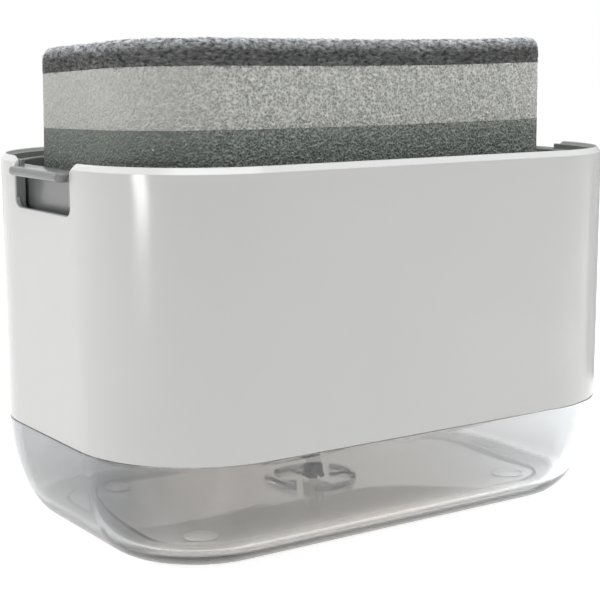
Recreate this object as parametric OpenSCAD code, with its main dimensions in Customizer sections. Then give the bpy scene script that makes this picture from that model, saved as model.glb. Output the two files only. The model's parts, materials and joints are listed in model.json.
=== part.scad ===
// Pump caddy for washing-up liquid: a clear tank, a sleeve and frame that lift off it,
// a spring pump in the frame, and a tray with a sponge that is pressed to work the pump.
// Millimetres. X is the long way, Z is up, and the feet stand on Z = 0.

/* [Body] */
// Length over the sleeve
body_l = 145; // [132:0.5:172]
// Width over the sleeve
body_w = 93; // [86:0.5:110]
// Height of the sleeve's rim above the table
body_h = 89.1; // [85:0.1:105]
// Outer radius of the upright corners
corner_r = 30.4; // [26:0.2:36]
// Height of the clear tank that shows below the sleeve
window_h = 25.4; // [23:0.2:29]

/* [Sleeve] */
// Wall of the white sleeve
shell_wall = 1.3; // [1.1:0.05:1.7]
// Height of the bevel round the sleeve's rim
rim_bevel_h = 1.6; // [1:0.1:2.2]
// How far that bevel draws in
rim_bevel_in = 0.35; // [0.2:0.05:0.5]
// Width of the finger notch in each end
notch_w = 28.8; // [24:0.2:32]
// Radius of the notch's lower corners
notch_r = 2.2; // [1.6:0.1:2.8]
// Radius where the notch runs out into the rim
flare_r = 3; // [2:0.1:3.6]

/* [Frame] */
// Wall of the inner frame
frame_wall = 0.9; // [0.8:0.05:1.3]
// How far the frame's top edge lies below the rim
frame_drop = 0.8; // [0.4:0.1:1.2]
// Thickness of the deck that carries the pump
deck_t = 2.2; // [1.8:0.1:2.8]
// Height of the threaded neck above the deck
neck_h = 8; // [6.5:0.1:9.5]
// Outer radius of the neck
neck_r = 13.4; // [12.4:0.1:15]
// Wall of the neck
neck_wall = 2; // [1.6:0.1:2.6]
// Thickness of the cheeks that line the notch's sides
cheek_t = 0.6; // [0.5:0.05:0.9]
// Depth of the plug that closes the tank's mouth
plug_h = 7; // [6:0.1:9]
// Wall of the plug
plug_wall = 1.8; // [1.5:0.1:2.4]
// Height of the ribs on the deck
deck_rib_h = 2; // [1.4:0.1:3]

/* [Tank] */
// Wall of the tank's mouth, inside the sleeve
mouth_wall = 1.8; // [1.4:0.1:2.2]
// Thickness of the tank's floor
floor_t = 2.4; // [2:0.1:3]
// Depth of the hollow under the floor
base_hollow = 1.7; // [1.2:0.1:2.2]
// Height of the rounding round the base, as a share of the window's height
base_round_share = 0.878; // [0.8:0.002:0.92]
// How far that rounding draws in
base_round_in = 10.2; // [8:0.1:12]
// How far the window's draft draws in above that
base_draft_in = 2; // [1:0.1:2.4]
// Height of the rounding inside the tank
bowl_h = 17; // [13:0.1:18]
// How far the inside rounding draws in
bowl_in = 6.2; // [5:0.1:8]
// How far the inside's draft draws in besides, which keeps the wall even
bowl_draft_in = 1.8; // [1:0.1:2.4]
// Radius of the ring on the floor under the pump
sump_r = 11; // [9:0.1:14]
// Height of that ring
sump_h = 1.4; // [1:0.1:2]
// Radius of a foot pad
foot_r = 4; // [3.4:0.1:5]
// Distance of the foot pads from the hollow's end
foot_end_gap = 6.3; // [5:0.1:12]
// Distance of the foot pads from the hollow's side
foot_side_gap = 3.3; // [2.6:0.1:6]

/* [Tray] */
// How far the tray's rim lies below the sleeve's rim
tray_drop = 2.1; // [1.6:0.1:2.6]
// Depth of the tray, from the top of its rim to its underside
tray_depth = 12.5; // [11:0.1:15]
// Wall of the tray
tray_wall = 1.2; // [1:0.05:1.6]
// Floor of the tray
tray_floor = 1.6; // [1.3:0.1:2]
// Height of the ribs that hold the sponge off the floor
rib_h = 2.7; // [2.5:0.1:3.4]
// Thickness of the bead round the tray's rim
bead_t = 1.2; // [0.9:0.1:1.5]
// Thickness of the finger tabs
tab_t = 2.1; // [1.6:0.1:2.4]
// How far the tabs stand out from the sleeve
tab_reach = 2.3; // [2:0.1:3.5]
// Travel of the pump
stroke = 7; // [5.8:0.1:8]

/* [Sponge] */
// Gap between sponge and tray at each end, with the sponge in the middle
sponge_end_gap = 8.3; // [6:0.1:14]
// Gap between sponge and tray on each side
sponge_side_gap = 7.1; // [5:0.1:12]
// How much smaller the sponge's upright corners are than the body's, as a radius
sponge_corner_step = 9; // [6:0.2:16]
// Thickness of the dark foam
foam_base_t = 16.8; // [13:0.1:22]
// Thickness of the light foam
foam_core_t = 13.4; // [10:0.2:16]
// Thickness of the scouring pad
scour_t = 6; // [5:0.1:9]
// Rounding of the scouring pad's upper edge
scour_round = 2.4; // [1.5:0.1:3.5]
// How much lower the scouring pad lies at its back edge, where the worn foam has sunk
back_sag = 3; // [0:0.1:4]
// How far the sponge lies from the middle of the tray
sponge_shift = 3.6; // [0:0.1:5]

/* [Pump] */
// Bore of the pump's cylinder, as a radius
bore_r = 5.5; // [5:0.1:6.2]
// Wall of the cylinder
cyl_wall = 1.1; // [0.9:0.05:1.4]
// Outer radius of the hollow stem
stem_r = 3.2; // [2.8:0.1:3.5]
// Radius of the passage in the stem
stem_bore_r = 1.8; // [1.6:0.1:2]
// Height of the piston
piston_h = 4; // [3.4:0.1:4.6]
// Play of the piston on its rod, which opens the outlet
slip = 0.8; // [0.6:0.05:1]
// Radius of the inlet ball
ball_r = 2.5; // [2.2:0.1:2.8]
// Lift of the inlet ball off its seat
ball_lift = 1.5; // [1.2:0.1:2]
// Length of the return spring at rest, as a share of the room below the pump's rod
spring_share = 0.41; // [0.38:0.01:0.44]
// Wire of the return spring, as a diameter
spring_wire = 0.9; // [0.7:0.05:1]
// Turns of the return spring
spring_turns = 7; // [5:1:7]
// Outer radius of the dip tube
tube_r = 2; // [1.8:0.1:2.6]
// Wall of the dip tube
tube_wall = 0.5; // [0.4:0.05:0.7]
// Height of the strainer above the tank's floor
tube_gap = 0.8; // [0.5:0.1:1.5]
// How far the strainer's foot spreads past the tube
strainer_spread = 0.9; // [0.7:0.05:1.4]

/* [Hidden] */
$fn = 72;

// Overrun of every cut, and how deep a rib or boss runs into what carries it
over = 1;
bite = 0.4;

// Clearances
fit = 0.1;      // pieces fixed to each other
slide = 0.3;    // pieces that slide or lift past each other
run = 0.08;     // piston and stem in their bores
seat = 0.1;     // flat faces that rest on each other
seam = 0.3;     // the line between sleeve and tank

// Foot pads
foot_show = 0.4;
foot_sink = 0.5;
foot_edge = 0.3;

// Tank, from the foot pads up
base_z = foot_show;
seam_z = base_z + window_h;
floor_z = base_z + base_hollow;
floor_top_z = floor_z + floor_t;
base_round_h = window_h * base_round_share;
base_in = base_round_in + base_draft_in;
ring_w = 3;
hollow_draft = 1;
spigot_in = shell_wall + slide;
mouth_in = spigot_in + mouth_wall;
hollow_in = base_in + ring_w + hollow_draft;
floor_lap_in = hollow_in + over;
foot_x = body_l / 2 - hollow_in - foot_end_gap - foot_r;
foot_y = body_w / 2 - hollow_in - foot_side_gap - foot_r;
lip = 0.5;
curve_steps = 10;
sump_wall = 1.2;
sump_gap_w = 5;
spoke_w = 1.2;
spoke_h = 0.6;
spoke_start = 5.5;

// Tray, from the sleeve's rim down
bead_z = body_h - tray_drop;
tray_z = bead_z - tray_depth;
tray_floor_z = tray_z + tray_floor;
rib_top_z = tray_floor_z + rib_h;
frame_in = shell_wall + fit;
frame_bore_in = frame_in + frame_wall;
guide = 0.4;
bead_out = 0.5;
bead_in = frame_bore_in + guide;
tray_in = bead_in + bead_out;
tray_bore_in = tray_in + tray_wall;
heel_r = 2.5;
heel_bore_r = 1.5;
heel_steps = 4;
tray_lap_in = tray_bore_in + heel_bore_r + over;
tab_spare = 0.4;
notch_z = bead_z - tab_t - stroke - tab_spare;
notch_under = 1;
clear_w = notch_w - 2 * (fit + cheek_t);
tab_w = clear_w - 2 * guide;
tab_r = 1.6;
rib_w = 1.2;
rib_pitch = 9;
rib_count = 5;
long_rib_share = 0.15;
long_rib_y = body_w * long_rib_share;
hub_skirt_h = 3.8;
hub_skirt_t = 1.5;

// Sleeve
rim_edge_r = 0.4;
rim_steps = 3;
inner_edge = 0.2;
snap_share = 0.7;
snap_x = snap_share * (body_l / 2 - corner_r);
snap_w = 8;
snap_h = 2.4;
snap_out = 0.5;
snap_z_share = 0.55;

// Stem head, which carries the tray
head_h = 4.6;
head_r = 8;
head_plate = 1.8;
head_wall = 1.3;
spout_r = 4;
spout_h = 3.8;
spout_play = slide;
head_z = tray_z - seat;
head_foot_z = head_z - head_h;
stem_sink = 2.4;
stem_boss_wall = 1.2;
valve_r = 2.9;
valve_t = 1.2;
valve_crown = 0.4;
slit_w = 0.3;
slit_l = 3;

// Pump, from the stem head down
cap_rise = 4.5;
cap_flange_t = 1.2;
cap_skirt = 2.5;
cap_r = 8.6;
cap_wall = 1.6;
end_play = 0.5;
cyl_top_z = head_foot_z - stroke - end_play - cap_rise;
cyl_flange_t = 1.4;
gasket_t = 1;
neck_top_z = cyl_top_z - cyl_flange_t - gasket_t - 2 * seat;
deck_top_z = neck_top_z - neck_h;
deck_z = deck_top_z - deck_t;
tank_top_z = deck_z - seat;
stop_t = 1;
stop_r = stem_r + 1.2;
stop_z = cyl_top_z - cap_skirt - slide;
piston_top_z = stop_z - stop_t - slip - seat;
piston_z = piston_top_z - piston_h;
piston_waist = 0.5;
piston_land = 1;
piston_bore_r = stem_bore_r + 0.2;
rod_head_t = 1.4;
rod_head_r = 3.1;
rod_r = 1.3;
rod_rib_t = 0.8;
rod_rib_count = 3;
rod_sink = 5;
rod_z = piston_z - seat - rod_head_t;
strainer_z = floor_top_z + tube_gap;
strainer_h = 3.2;
pump_room = rod_z - seat - strainer_z - strainer_h;
spring_l = pump_room * spring_share;
spring_z = rod_z - seat - spring_l;
spring_r = bore_r - spring_wire / 2 - 0.4;
spring_rings = 8;
spring_sides = 6;
cage_play = 0.4;
cage_r = ball_r + cage_play;
cage_nub_h = 1.2;
ball_rise = ball_r * sqrt(2) - cage_r + seat;
cage_h = ball_rise + ball_r + ball_lift + seat + cage_nub_h;
cage_z = spring_z - cage_h;
cage_nub_w = 1.2;
cage_nub_in = 0.9;
cage_nubs = 4;
inlet_r = 1.5;
inlet_h = 1.4;
cone_h = cage_r - inlet_r;
ball_z = cage_z + ball_rise;
socket_z = cage_z - cone_h - inlet_h;
socket_share = 0.154;
socket_h = pump_room * socket_share;
socket_r = tube_r + fit + cyl_wall;
vent_r = 0.5;
vent_drop = 1.5;
strainer_wall = 0.4;
strainer_top_r = tube_r + fit + strainer_wall;
strainer_r = tube_r + strainer_spread;
strainer_foot_share = 0.4;
strainer_slot_w = 1.2;
strainer_slot_h = 0.9;
tube_z = strainer_z + strainer_slot_h + seat;

// Screw closure
closure_wall = 2.2;
closure_web = 1.8;
closure_lift = 1;
closure_bore_r = neck_r + slide;
closure_r = closure_bore_r + closure_wall;
closure_z = deck_top_z + closure_lift;
closure_top_z = cyl_top_z + cap_flange_t + 2 * seat + closure_web;
closure_hole_r = stem_r + run + cap_wall + slide;
grip_count = 30;
grip_w = 1.2;
grip_out = 0.5;

// Plug and seal
plug_gap = 1;
plug_in = mouth_in + plug_gap;
seal_sink = 0.8;
seal_h = 2.4;
seal_drop = 2.4;
seal_touch = 0.1;
deck_lap_in = plug_in + plug_wall + over;
deck_rib_w = 1.4;
deck_rib_pitch = 13;
deck_rib_count = 3;
deck_rib_gap = 1;

// Sponge, from the tray's ribs up
sponge_l = body_l - 2 * (tray_bore_in + sponge_end_gap);
sponge_w = body_w - 2 * (tray_bore_in + sponge_side_gap);
sponge_r = corner_r - sponge_corner_step;
sponge_z = rib_top_z + slide;
foam_core_z = sponge_z + foam_base_t + seat;
scour_z = foam_core_z + foam_core_t + seat;
sponge_steps = 5;
pad_fall = atan(back_sag / sponge_w);
base_fall = atan(back_sag / sponge_w * foam_base_t / (foam_base_t + foam_core_t));

// Points of an elliptical arc from angle a0 to a1
function arc(cx, cz, rx, rz, a0, a1, n) =
  [for (i = [0:n]) let (a = a0 + (a1 - a0) * i / n) [cx + rx * cos(a), cz + rz * sin(a)]];

// Half width at x of a rounded rectangle
function half_width(x, l, w, r) =
  let (d = abs(x) - (l / 2 - r)) d <= 0 ? w / 2 : w / 2 - r + sqrt(r * r - d * d);

// Sweeps a profile round a rounded rectangle. The profile's X points outward from the outline.
module around(l, w, r) {
  for (c = [[1, 1, 0], [-1, 1, 90], [-1, -1, 180], [1, -1, 270]])
    translate([c[0] * (l / 2 - r), c[1] * (w / 2 - r), 0])
      rotate(c[2])
        rotate_extrude(angle = 90)
          translate([r, 0])
            children();
  for (s = [[0, l / 2, w], [90, w / 2, l], [180, l / 2, w], [270, w / 2, l]])
    rotate(s[0])
      translate([s[1], s[2] / 2 - r, 0])
        rotate([90, 0, 0])
          linear_extrude(s[2] - 2 * r)
            children();
}

// Outline of a rounded rectangle
module round_rect(l, w, r) {
  square([l - 2 * r, w], center = true);
  square([l, w - 2 * r], center = true);
  for (x = [-1, 1], y = [-1, 1])
    translate([x * (l / 2 - r), y * (w / 2 - r)])
      circle(r);
}

// The body's outline, drawn in by a distance
module body_around(inset = 0) {
  around(body_l - 2 * inset, body_w - 2 * inset, corner_r - inset)
    children();
}

module body_plate(inset, z, h) {
  translate([0, 0, z])
    linear_extrude(h)
      round_rect(body_l - 2 * inset, body_w - 2 * inset, corner_r - inset);
}

module tube(r, bore, z, h) {
  difference() {
    translate([0, 0, z])
      cylinder(r = r, h = h);
    translate([0, 0, z - over])
      cylinder(r = bore, h = h + 2 * over);
  }
}

// Finger notch seen from the end: a slot with rounded foot corners and an open top
module notch_slot(w, foot_z, corner) {
  translate([-w / 2 + corner, foot_z])
    square([w - 2 * corner, body_h + over - foot_z]);
  translate([-w / 2, foot_z + corner])
    square([w, body_h + over - foot_z - corner]);
  for (s = [-1, 1])
    translate([s * (w / 2 - corner), foot_z + corner])
      circle(corner);
}

// What the rounding into the rim takes away beside the notch
module notch_flare(w, flare) {
  for (s = [0, 1])
    mirror([s, 0])
      difference() {
        translate([w / 2 - over, body_h - flare])
          square([flare + over, flare + over]);
        translate([w / 2 + flare, body_h - flare])
          circle(flare);
      }
}

// Stands an outline at one end of the body and runs it inward from there
module at_end(side, start, depth) {
  rotate(side > 0 ? 0 : 180)
    translate([body_l / 2 + start - depth, 0, 0])
      rotate([90, 0, 90])
        linear_extrude(depth)
          children();
}

// Outer curve of the tank's base, from the standing ring up to the seam
function base_curve() =
  [for (i = [0:curve_steps])
    let (a = 90 * i / curve_steps, h = base_round_h * (1 - cos(a)))
      [-base_round_in * (1 - sin(a)) - base_draft_in * (1 - h / window_h), base_z + h]];

// Inner curve of the bowl, from the mouth's wall down to the floor
function bowl_curve() =
  [for (i = [0:curve_steps])
    let (a = 90 - 90 * i / curve_steps)
      [-mouth_in - bowl_in * (1 - sin(a)) - bowl_draft_in * cos(a), floor_top_z + bowl_h * (1 - cos(a))]];

module tank_profile() {
  polygon(concat(
    base_curve(),
    [[0, seam_z], [-spigot_in, seam_z], [-spigot_in, tank_top_z - lip]],
    [[-spigot_in - lip, tank_top_z], [-mouth_in, tank_top_z]],
    bowl_curve(),
    [[-floor_lap_in, floor_top_z], [-floor_lap_in, floor_z]],
    [[-hollow_in, floor_z], [-base_in - ring_w, base_z]]));
}

module foot_places() {
  for (x = [-foot_x, foot_x], y = [-foot_y, foot_y])
    translate([x, y, 0])
      children();
}

// Broken ring with four spokes that steadies the tube's end
module sump_ring() {
  difference() {
    tube(sump_r, sump_r - sump_wall, floor_top_z - bite, sump_h + bite);
    for (a = [45, 135])
      rotate(a)
        translate([-sump_r - over, -sump_gap_w / 2, floor_top_z])
          cube([2 * (sump_r + over), sump_gap_w, sump_h + over]);
  }
  for (a = [0:90:270])
    rotate(a)
      translate([spoke_start, -spoke_w / 2, floor_top_z - bite])
        cube([sump_r - sump_wall / 2 - spoke_start, spoke_w, spoke_h + bite]);
}

module tank() {
  color("lightgrey", 0.5)
    difference() {
      union() {
        body_around()
          tank_profile();
        body_plate(floor_lap_in - over, floor_z, floor_t);
        sump_ring();
      }
      foot_places()
        translate([0, 0, floor_z - over])
          cylinder(r = foot_r + fit, h = foot_sink + fit + over);
    }
}

module tank_feet() {
  color("gainsboro")
    foot_places() {
      translate([0, 0, foot_edge])
        cylinder(r = foot_r, h = floor_z + foot_sink - foot_edge);
      cylinder(r1 = foot_r - foot_edge, r2 = foot_r, h = foot_edge);
    }
}

// Seal in the plug's groove, which bears on the tank's mouth
module tank_seal() {
  seal_z = deck_z - seal_drop - seal_h + fit;
  groove_in = plug_in + seal_sink - fit;
  color("white")
    body_around()
      translate([-groove_in, seal_z])
        square([groove_in - mouth_in - seal_touch, seal_h - 2 * fit]);
}

// Sleeve wall with a bevelled rim
module shell_profile() {
  polygon(concat(
    [[-shell_wall, seam_z + seam], [0, seam_z + seam], [0, body_h - rim_bevel_h]],
    arc(-rim_bevel_in - rim_edge_r, body_h - rim_edge_r, rim_edge_r, rim_edge_r, 0, 90, rim_steps),
    [[-shell_wall + inner_edge, body_h], [-shell_wall, body_h - inner_edge]]));
}

snap_z = deck_z + snap_z_share * (body_h - deck_z);

// Snaps on the long walls that hold the frame in the sleeve
module snap_places() {
  for (x = [-snap_x, snap_x], s = [0, 180])
    rotate(s)
      translate([x, body_w / 2 - frame_in, snap_z])
        children();
}

module outer_shell() {
  color("white")
    difference() {
      body_around()
        shell_profile();
      for (side = [-1, 1])
        at_end(side, over, shell_wall + 2 * over) {
          notch_slot(notch_w, notch_z, notch_r);
          notch_flare(notch_w, flare_r);
        }
      snap_places()
        translate([-snap_w / 2 - slide, -over, -slide])
          cube([snap_w + 2 * slide, snap_out + fit + over, snap_h + 2 * slide]);
    }
}

// Frame wall, deck edge and plug in one profile
module frame_profile() {
  top = body_h - frame_drop;
  groove_top = deck_z - seal_drop;
  polygon([
    [-frame_in, deck_z], [-frame_in, top - inner_edge], [-frame_in - inner_edge, top],
    [-frame_bore_in + inner_edge, top], [-frame_bore_in, top - inner_edge],
    [-frame_bore_in, deck_top_z], [-deck_lap_in, deck_top_z], [-deck_lap_in, deck_z],
    [-plug_in - plug_wall, deck_z], [-plug_in - plug_wall, deck_z - plug_h],
    [-plug_in - lip, deck_z - plug_h], [-plug_in, deck_z - plug_h + lip],
    [-plug_in, groove_top - seal_h], [-plug_in - seal_sink, groove_top - seal_h],
    [-plug_in - seal_sink, groove_top], [-plug_in, groove_top], [-plug_in, deck_z]]);
}

// Ribs on the deck, from wall to wall, open round the closure
module deck_ribs() {
  inset = frame_bore_in - bite;
  l = body_l - 2 * inset;
  w = body_w - 2 * inset;
  r = corner_r - inset;
  clear_r = closure_r + grip_out + deck_rib_gap;
  for (s = [0, 180])
    rotate(s) {
      translate([clear_r, -deck_rib_w / 2, deck_top_z - bite])
        cube([l / 2 - clear_r, deck_rib_w, deck_rib_h + bite]);
      for (i = [1:deck_rib_count]) {
        x = clear_r - deck_rib_w + deck_rib_pitch * (i - 1) + deck_rib_w;
        half = half_width(x + deck_rib_w, l, w, r);
        translate([x, -half, deck_top_z - bite])
          cube([deck_rib_w, 2 * half, deck_rib_h + bite]);
      }
    }
}

// Cheeks that line the sides of the notch out to the sleeve's face
module cheeks(side) {
  foot = notch_z + notch_r;
  top = body_h - flare_r;
  at_end(side, -fit, frame_bore_in - fit)
    for (s = [0, 1])
      mirror([s, 0])
        translate([clear_w / 2, foot])
          square([cheek_t, top - foot]);
}

module inner_frame() {
  color("grey")
    difference() {
      union() {
        difference() {
          union() {
            body_around()
              frame_profile();
            body_plate(deck_lap_in - over, deck_z, deck_t);
          }
          for (side = [-1, 1])
            at_end(side, over, frame_bore_in + 2 * over)
              notch_slot(clear_w, notch_z - notch_under, notch_r);
        }
        for (side = [-1, 1])
          cheeks(side);
        deck_ribs();
        translate([0, 0, deck_z])
          cylinder(r = neck_r, h = neck_top_z - deck_z);
        snap_places()
          translate([-snap_w / 2, -bite, 0])
            cube([snap_w, snap_out + bite, snap_h]);
      }
      translate([0, 0, deck_z - over])
        cylinder(r = neck_r - neck_wall, h = neck_top_z - deck_z + 2 * over);
    }
}

module pump_closure() {
  skirt_h = closure_top_z - closure_z;
  color("whitesmoke")
    difference() {
      union() {
        translate([0, 0, closure_z])
          cylinder(r = closure_r, h = skirt_h - lip);
        translate([0, 0, closure_top_z - lip])
          cylinder(r1 = closure_r, r2 = closure_r - lip, h = lip);
        for (i = [0:grip_count - 1])
          rotate(360 * i / grip_count)
            translate([closure_r - bite, -grip_w / 2, closure_z])
              cube([grip_out + bite, grip_w, skirt_h - 2 * lip]);
      }
      translate([0, 0, closure_z - over])
        cylinder(r = closure_bore_r, h = skirt_h - closure_web + over);
      translate([0, 0, closure_z])
        cylinder(r = closure_hole_r, h = skirt_h + over);
    }
}

module closure_gasket() {
  color("white")
    tube(neck_r - fit, neck_r - neck_wall + fit, neck_top_z + seat, gasket_t);
}

// Stepped barrel: flange, cylinder, ball cage with its cone seat, and the tube's socket
module pump_housing() {
  barrel_z = spring_z - cyl_wall;
  cage_out_r = cage_r + cyl_wall;
  color("whitesmoke") {
    difference() {
      union() {
        translate([0, 0, cyl_top_z - cyl_flange_t])
          cylinder(r = neck_r, h = cyl_flange_t);
        translate([0, 0, barrel_z])
          cylinder(r = bore_r + cyl_wall, h = cyl_top_z - barrel_z);
        translate([0, 0, socket_z])
          cylinder(r = cage_out_r, h = barrel_z - socket_z + bite);
        translate([0, 0, socket_z - socket_h])
          cylinder(r = socket_r, h = socket_h + bite);
      }
      translate([0, 0, spring_z])
        cylinder(r = bore_r, h = cyl_top_z - spring_z + over);
      translate([0, 0, cage_z])
        cylinder(r = cage_r, h = cage_h + over);
      translate([0, 0, cage_z - cone_h])
        cylinder(r1 = inlet_r, r2 = cage_r, h = cone_h);
      translate([0, 0, socket_z - over])
        cylinder(r = inlet_r, h = inlet_h + 2 * over);
      translate([0, 0, socket_z - socket_h - over])
        cylinder(r = tube_r + fit, h = socket_h + over);
      translate([0, 0, cyl_top_z - cyl_flange_t - vent_drop])
        rotate([0, 90, 0])
          cylinder(r = vent_r, h = bore_r + cyl_wall + over);
    }
    for (i = [0:cage_nubs - 1])
      rotate(360 * i / cage_nubs)
        translate([cage_r - cage_nub_in, -cage_nub_w / 2, spring_z - cage_nub_h])
          cube([cage_nub_in + bite, cage_nub_w, cage_nub_h]);
  }
}

// Cap that closes the cylinder and guides the stem
module housing_cap() {
  color("whitesmoke")
    difference() {
      union() {
        translate([0, 0, cyl_top_z - cap_skirt])
          cylinder(r = bore_r - fit, h = cap_skirt + seat + bite);
        translate([0, 0, cyl_top_z + seat])
          cylinder(r = cap_r, h = cap_flange_t);
        translate([0, 0, cyl_top_z + seat])
          cylinder(r = stem_r + run + cap_wall, h = cap_rise - seat);
      }
      translate([0, 0, cyl_top_z - cap_skirt - over])
        cylinder(r = stem_r + run, h = cap_skirt + cap_rise + 2 * over);
    }
}

module inlet_ball() {
  color("silver")
    translate([0, 0, ball_z])
      sphere(ball_r);
}

module dip_tube() {
  color("white")
    tube(tube_r, tube_r - tube_wall, tube_z, socket_z - seat - tube_z);
}

// Rounded foot with slots that keeps the tube's end open above the floor
module tube_strainer() {
  foot_h = strainer_h * strainer_foot_share;
  color("dimgray")
    difference() {
      translate([0, 0, strainer_z])
        rotate_extrude()
          polygon(concat(
            [[0, 0]],
            arc(strainer_top_r, 0, strainer_r - strainer_top_r, foot_h, 0, 90, heel_steps),
            [[strainer_top_r, strainer_h], [0, strainer_h]]));
      translate([0, 0, tube_z - seat])
        cylinder(r = tube_r + fit, h = strainer_h);
      translate([0, 0, strainer_z - over])
        cylinder(r = tube_r - tube_wall, h = strainer_h);
      for (a = [0, 90])
        rotate(a)
          translate([-strainer_r - over, -strainer_slot_w / 2, strainer_z - over])
            cube([2 * (strainer_r + over), strainer_slot_w, strainer_slot_h + over]);
    }
}

// Points of one ring of a helix wound round Z
function spring_ring(t) =
  let (a = 360 * t * spring_turns,
    z = spring_z + seat + spring_wire / 2 + t * (spring_l - spring_wire - 2 * seat))
    [for (j = [0:spring_sides - 1])
      let (b = 360 * j / spring_sides, r = spring_r + spring_wire / 2 * cos(b))
        [r * cos(a), r * sin(a), z + spring_wire / 2 * sin(b)]];

module return_spring() {
  n = spring_turns * spring_rings;
  m = spring_sides;
  points = [for (i = [0:n]) each spring_ring(i / n)];
  sides = [for (i = [0:n - 1], j = [0:m - 1])
    let (k = (j + 1) % m)
      each [[i * m + j, (i + 1) * m + j, i * m + k], [i * m + k, (i + 1) * m + j, (i + 1) * m + k]]];
  ends = [for (j = [1:m - 2]) each [[0, j, j + 1], [n * m, n * m + j + 1, n * m + j]]];
  echo("least gap between turns", (spring_l - spring_wire) / spring_turns - spring_wire);
  color("silver")
    polyhedron(points, concat(sides, ends));
}

// Piston with two sealing lands, loose on the rod
module pump_piston() {
  r = bore_r - run;
  color("lightgrey")
    difference() {
      union() {
        translate([0, 0, piston_z])
          cylinder(r = r - piston_waist, h = piston_h);
        for (z = [piston_z, piston_top_z - piston_land])
          translate([0, 0, z])
            cylinder(r = r, h = piston_land);
      }
      translate([0, 0, piston_z - over])
        cylinder(r = piston_bore_r, h = piston_h + 2 * over);
    }
}

// Rod whose head closes the piston's passage; its ribs grip the stem's bore
module piston_rod() {
  rib_z = stop_z - stop_t;
  color("whitesmoke") {
    translate([0, 0, rod_z])
      cylinder(r = rod_head_r, h = rod_head_t);
    translate([0, 0, rod_z])
      cylinder(r = rod_r, h = rib_z + rod_sink - rod_z);
    intersection() {
      translate([0, 0, rib_z])
        cylinder(r = stem_bore_r - fit, h = rod_sink);
      for (i = [0:rod_rib_count - 1])
        rotate(360 * i / rod_rib_count)
          translate([0, -rod_rib_t / 2, rib_z])
            cube([stem_bore_r, rod_rib_t, rod_sink]);
    }
  }
}

module pump_stem() {
  z = stop_z - stop_t;
  top = head_foot_z + stem_sink;
  color("whitesmoke")
    difference() {
      union() {
        translate([0, 0, z])
          cylinder(r = stem_r, h = top - z);
        translate([0, 0, z])
          cylinder(r = stop_r, h = stop_t);
      }
      translate([0, 0, z - over])
        cylinder(r = stem_bore_r, h = top - z + 2 * over);
    }
}

// Head that lifts the tray, with the spout that feeds the sponge
module stem_head() {
  color("whitesmoke")
    difference() {
      union() {
        translate([0, 0, head_z - head_plate])
          cylinder(r = head_r, h = head_plate);
        tube(head_r, head_r - head_wall, head_foot_z, head_h);
        translate([0, 0, head_foot_z])
          cylinder(r = stem_r + fit + stem_boss_wall, h = head_h);
        translate([0, 0, head_z - bite])
          cylinder(r = spout_r, h = spout_h + bite);
      }
      translate([0, 0, head_foot_z - over])
        cylinder(r = stem_r + fit, h = stem_sink + fit + over);
      translate([0, 0, head_foot_z])
        cylinder(r = stem_bore_r, h = head_h + spout_h + over);
      translate([0, 0, head_z + spout_h - valve_t])
        cylinder(r = valve_r + fit, h = valve_t + over);
    }
}

// Soft slit valve in the spout's mouth
module outlet_valve() {
  z = head_z + spout_h - valve_t + seat;
  color("lightsteelblue")
    difference() {
      union() {
        translate([0, 0, z])
          cylinder(r = valve_r, h = valve_t - seat);
        translate([0, 0, z + valve_t - seat])
          cylinder(r1 = valve_r - lip, r2 = slit_l / 2 + slit_w, h = valve_crown);
      }
      for (a = [0, 90])
        rotate(a)
          translate([-slit_l / 2, -slit_w / 2, z - over])
            cube([slit_l, slit_w, valve_t + valve_crown + 2 * over]);
    }
}

// Tray wall with a bead at its rim and a rounded heel
module tray_profile() {
  heel_z = tray_z + heel_r;
  heel_bore_z = tray_floor_z + heel_bore_r;
  polygon(concat(
    arc(-tray_in - heel_r, heel_z, heel_r, heel_r, -90, 0, heel_steps),
    [[-tray_in, bead_z - bead_t], [-bead_in, bead_z - bead_t]],
    [[-bead_in, bead_z - inner_edge], [-bead_in - inner_edge, bead_z]],
    [[-tray_bore_in + inner_edge, bead_z], [-tray_bore_in, bead_z - inner_edge]],
    arc(-tray_bore_in - heel_bore_r, heel_bore_z, heel_bore_r, heel_bore_r, 0, -90, heel_steps),
    [[-tray_lap_in, tray_floor_z], [-tray_lap_in, tray_z]]));
}

module finger_tab(side) {
  rotate(side > 0 ? 0 : 180)
    translate([body_l / 2 - tray_bore_in + inner_edge, 0, bead_z - tab_t])
      linear_extrude(tab_t) {
        reach = tray_bore_in - inner_edge + tab_reach;
        translate([0, -tab_w / 2])
          square([reach - tab_r, tab_w]);
        translate([0, -tab_w / 2 + tab_r])
          square([reach, tab_w - 2 * tab_r]);
        for (s = [-1, 1])
          translate([reach - tab_r, s * (tab_w / 2 - tab_r)])
            circle(tab_r);
      }
}

// Ribs that carry the sponge: some across on each side of the spout, and two along
module tray_ribs() {
  inset = tray_bore_in - bite;
  l = body_l - 2 * inset;
  w = body_w - 2 * inset;
  r = corner_r - inset;
  z = tray_floor_z - bite;
  h = rib_top_z - z;
  for (s = [0, 180])
    rotate(s) {
      for (i = [1:rib_count]) {
        x = rib_pitch * i + rib_w;
        half = half_width(x + rib_w, l, w, r);
        translate([x, -half, z])
          cube([rib_w, 2 * half, h]);
      }
      translate([-l / 2, long_rib_y, z])
        cube([l, rib_w, h]);
    }
}

module sponge_tray() {
  color("darkgrey")
    difference() {
      union() {
        body_around()
          tray_profile();
        body_plate(tray_lap_in - over, tray_z, tray_floor);
        for (side = [-1, 1])
          finger_tab(side);
        tray_ribs();
        tube(head_r + slide + hub_skirt_t, head_r + slide, tray_z - hub_skirt_h, hub_skirt_h + bite);
      }
      translate([0, 0, tray_z - over])
        cylinder(r = spout_r + spout_play, h = rib_top_z - tray_z + 2 * over);
    }
}

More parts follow.
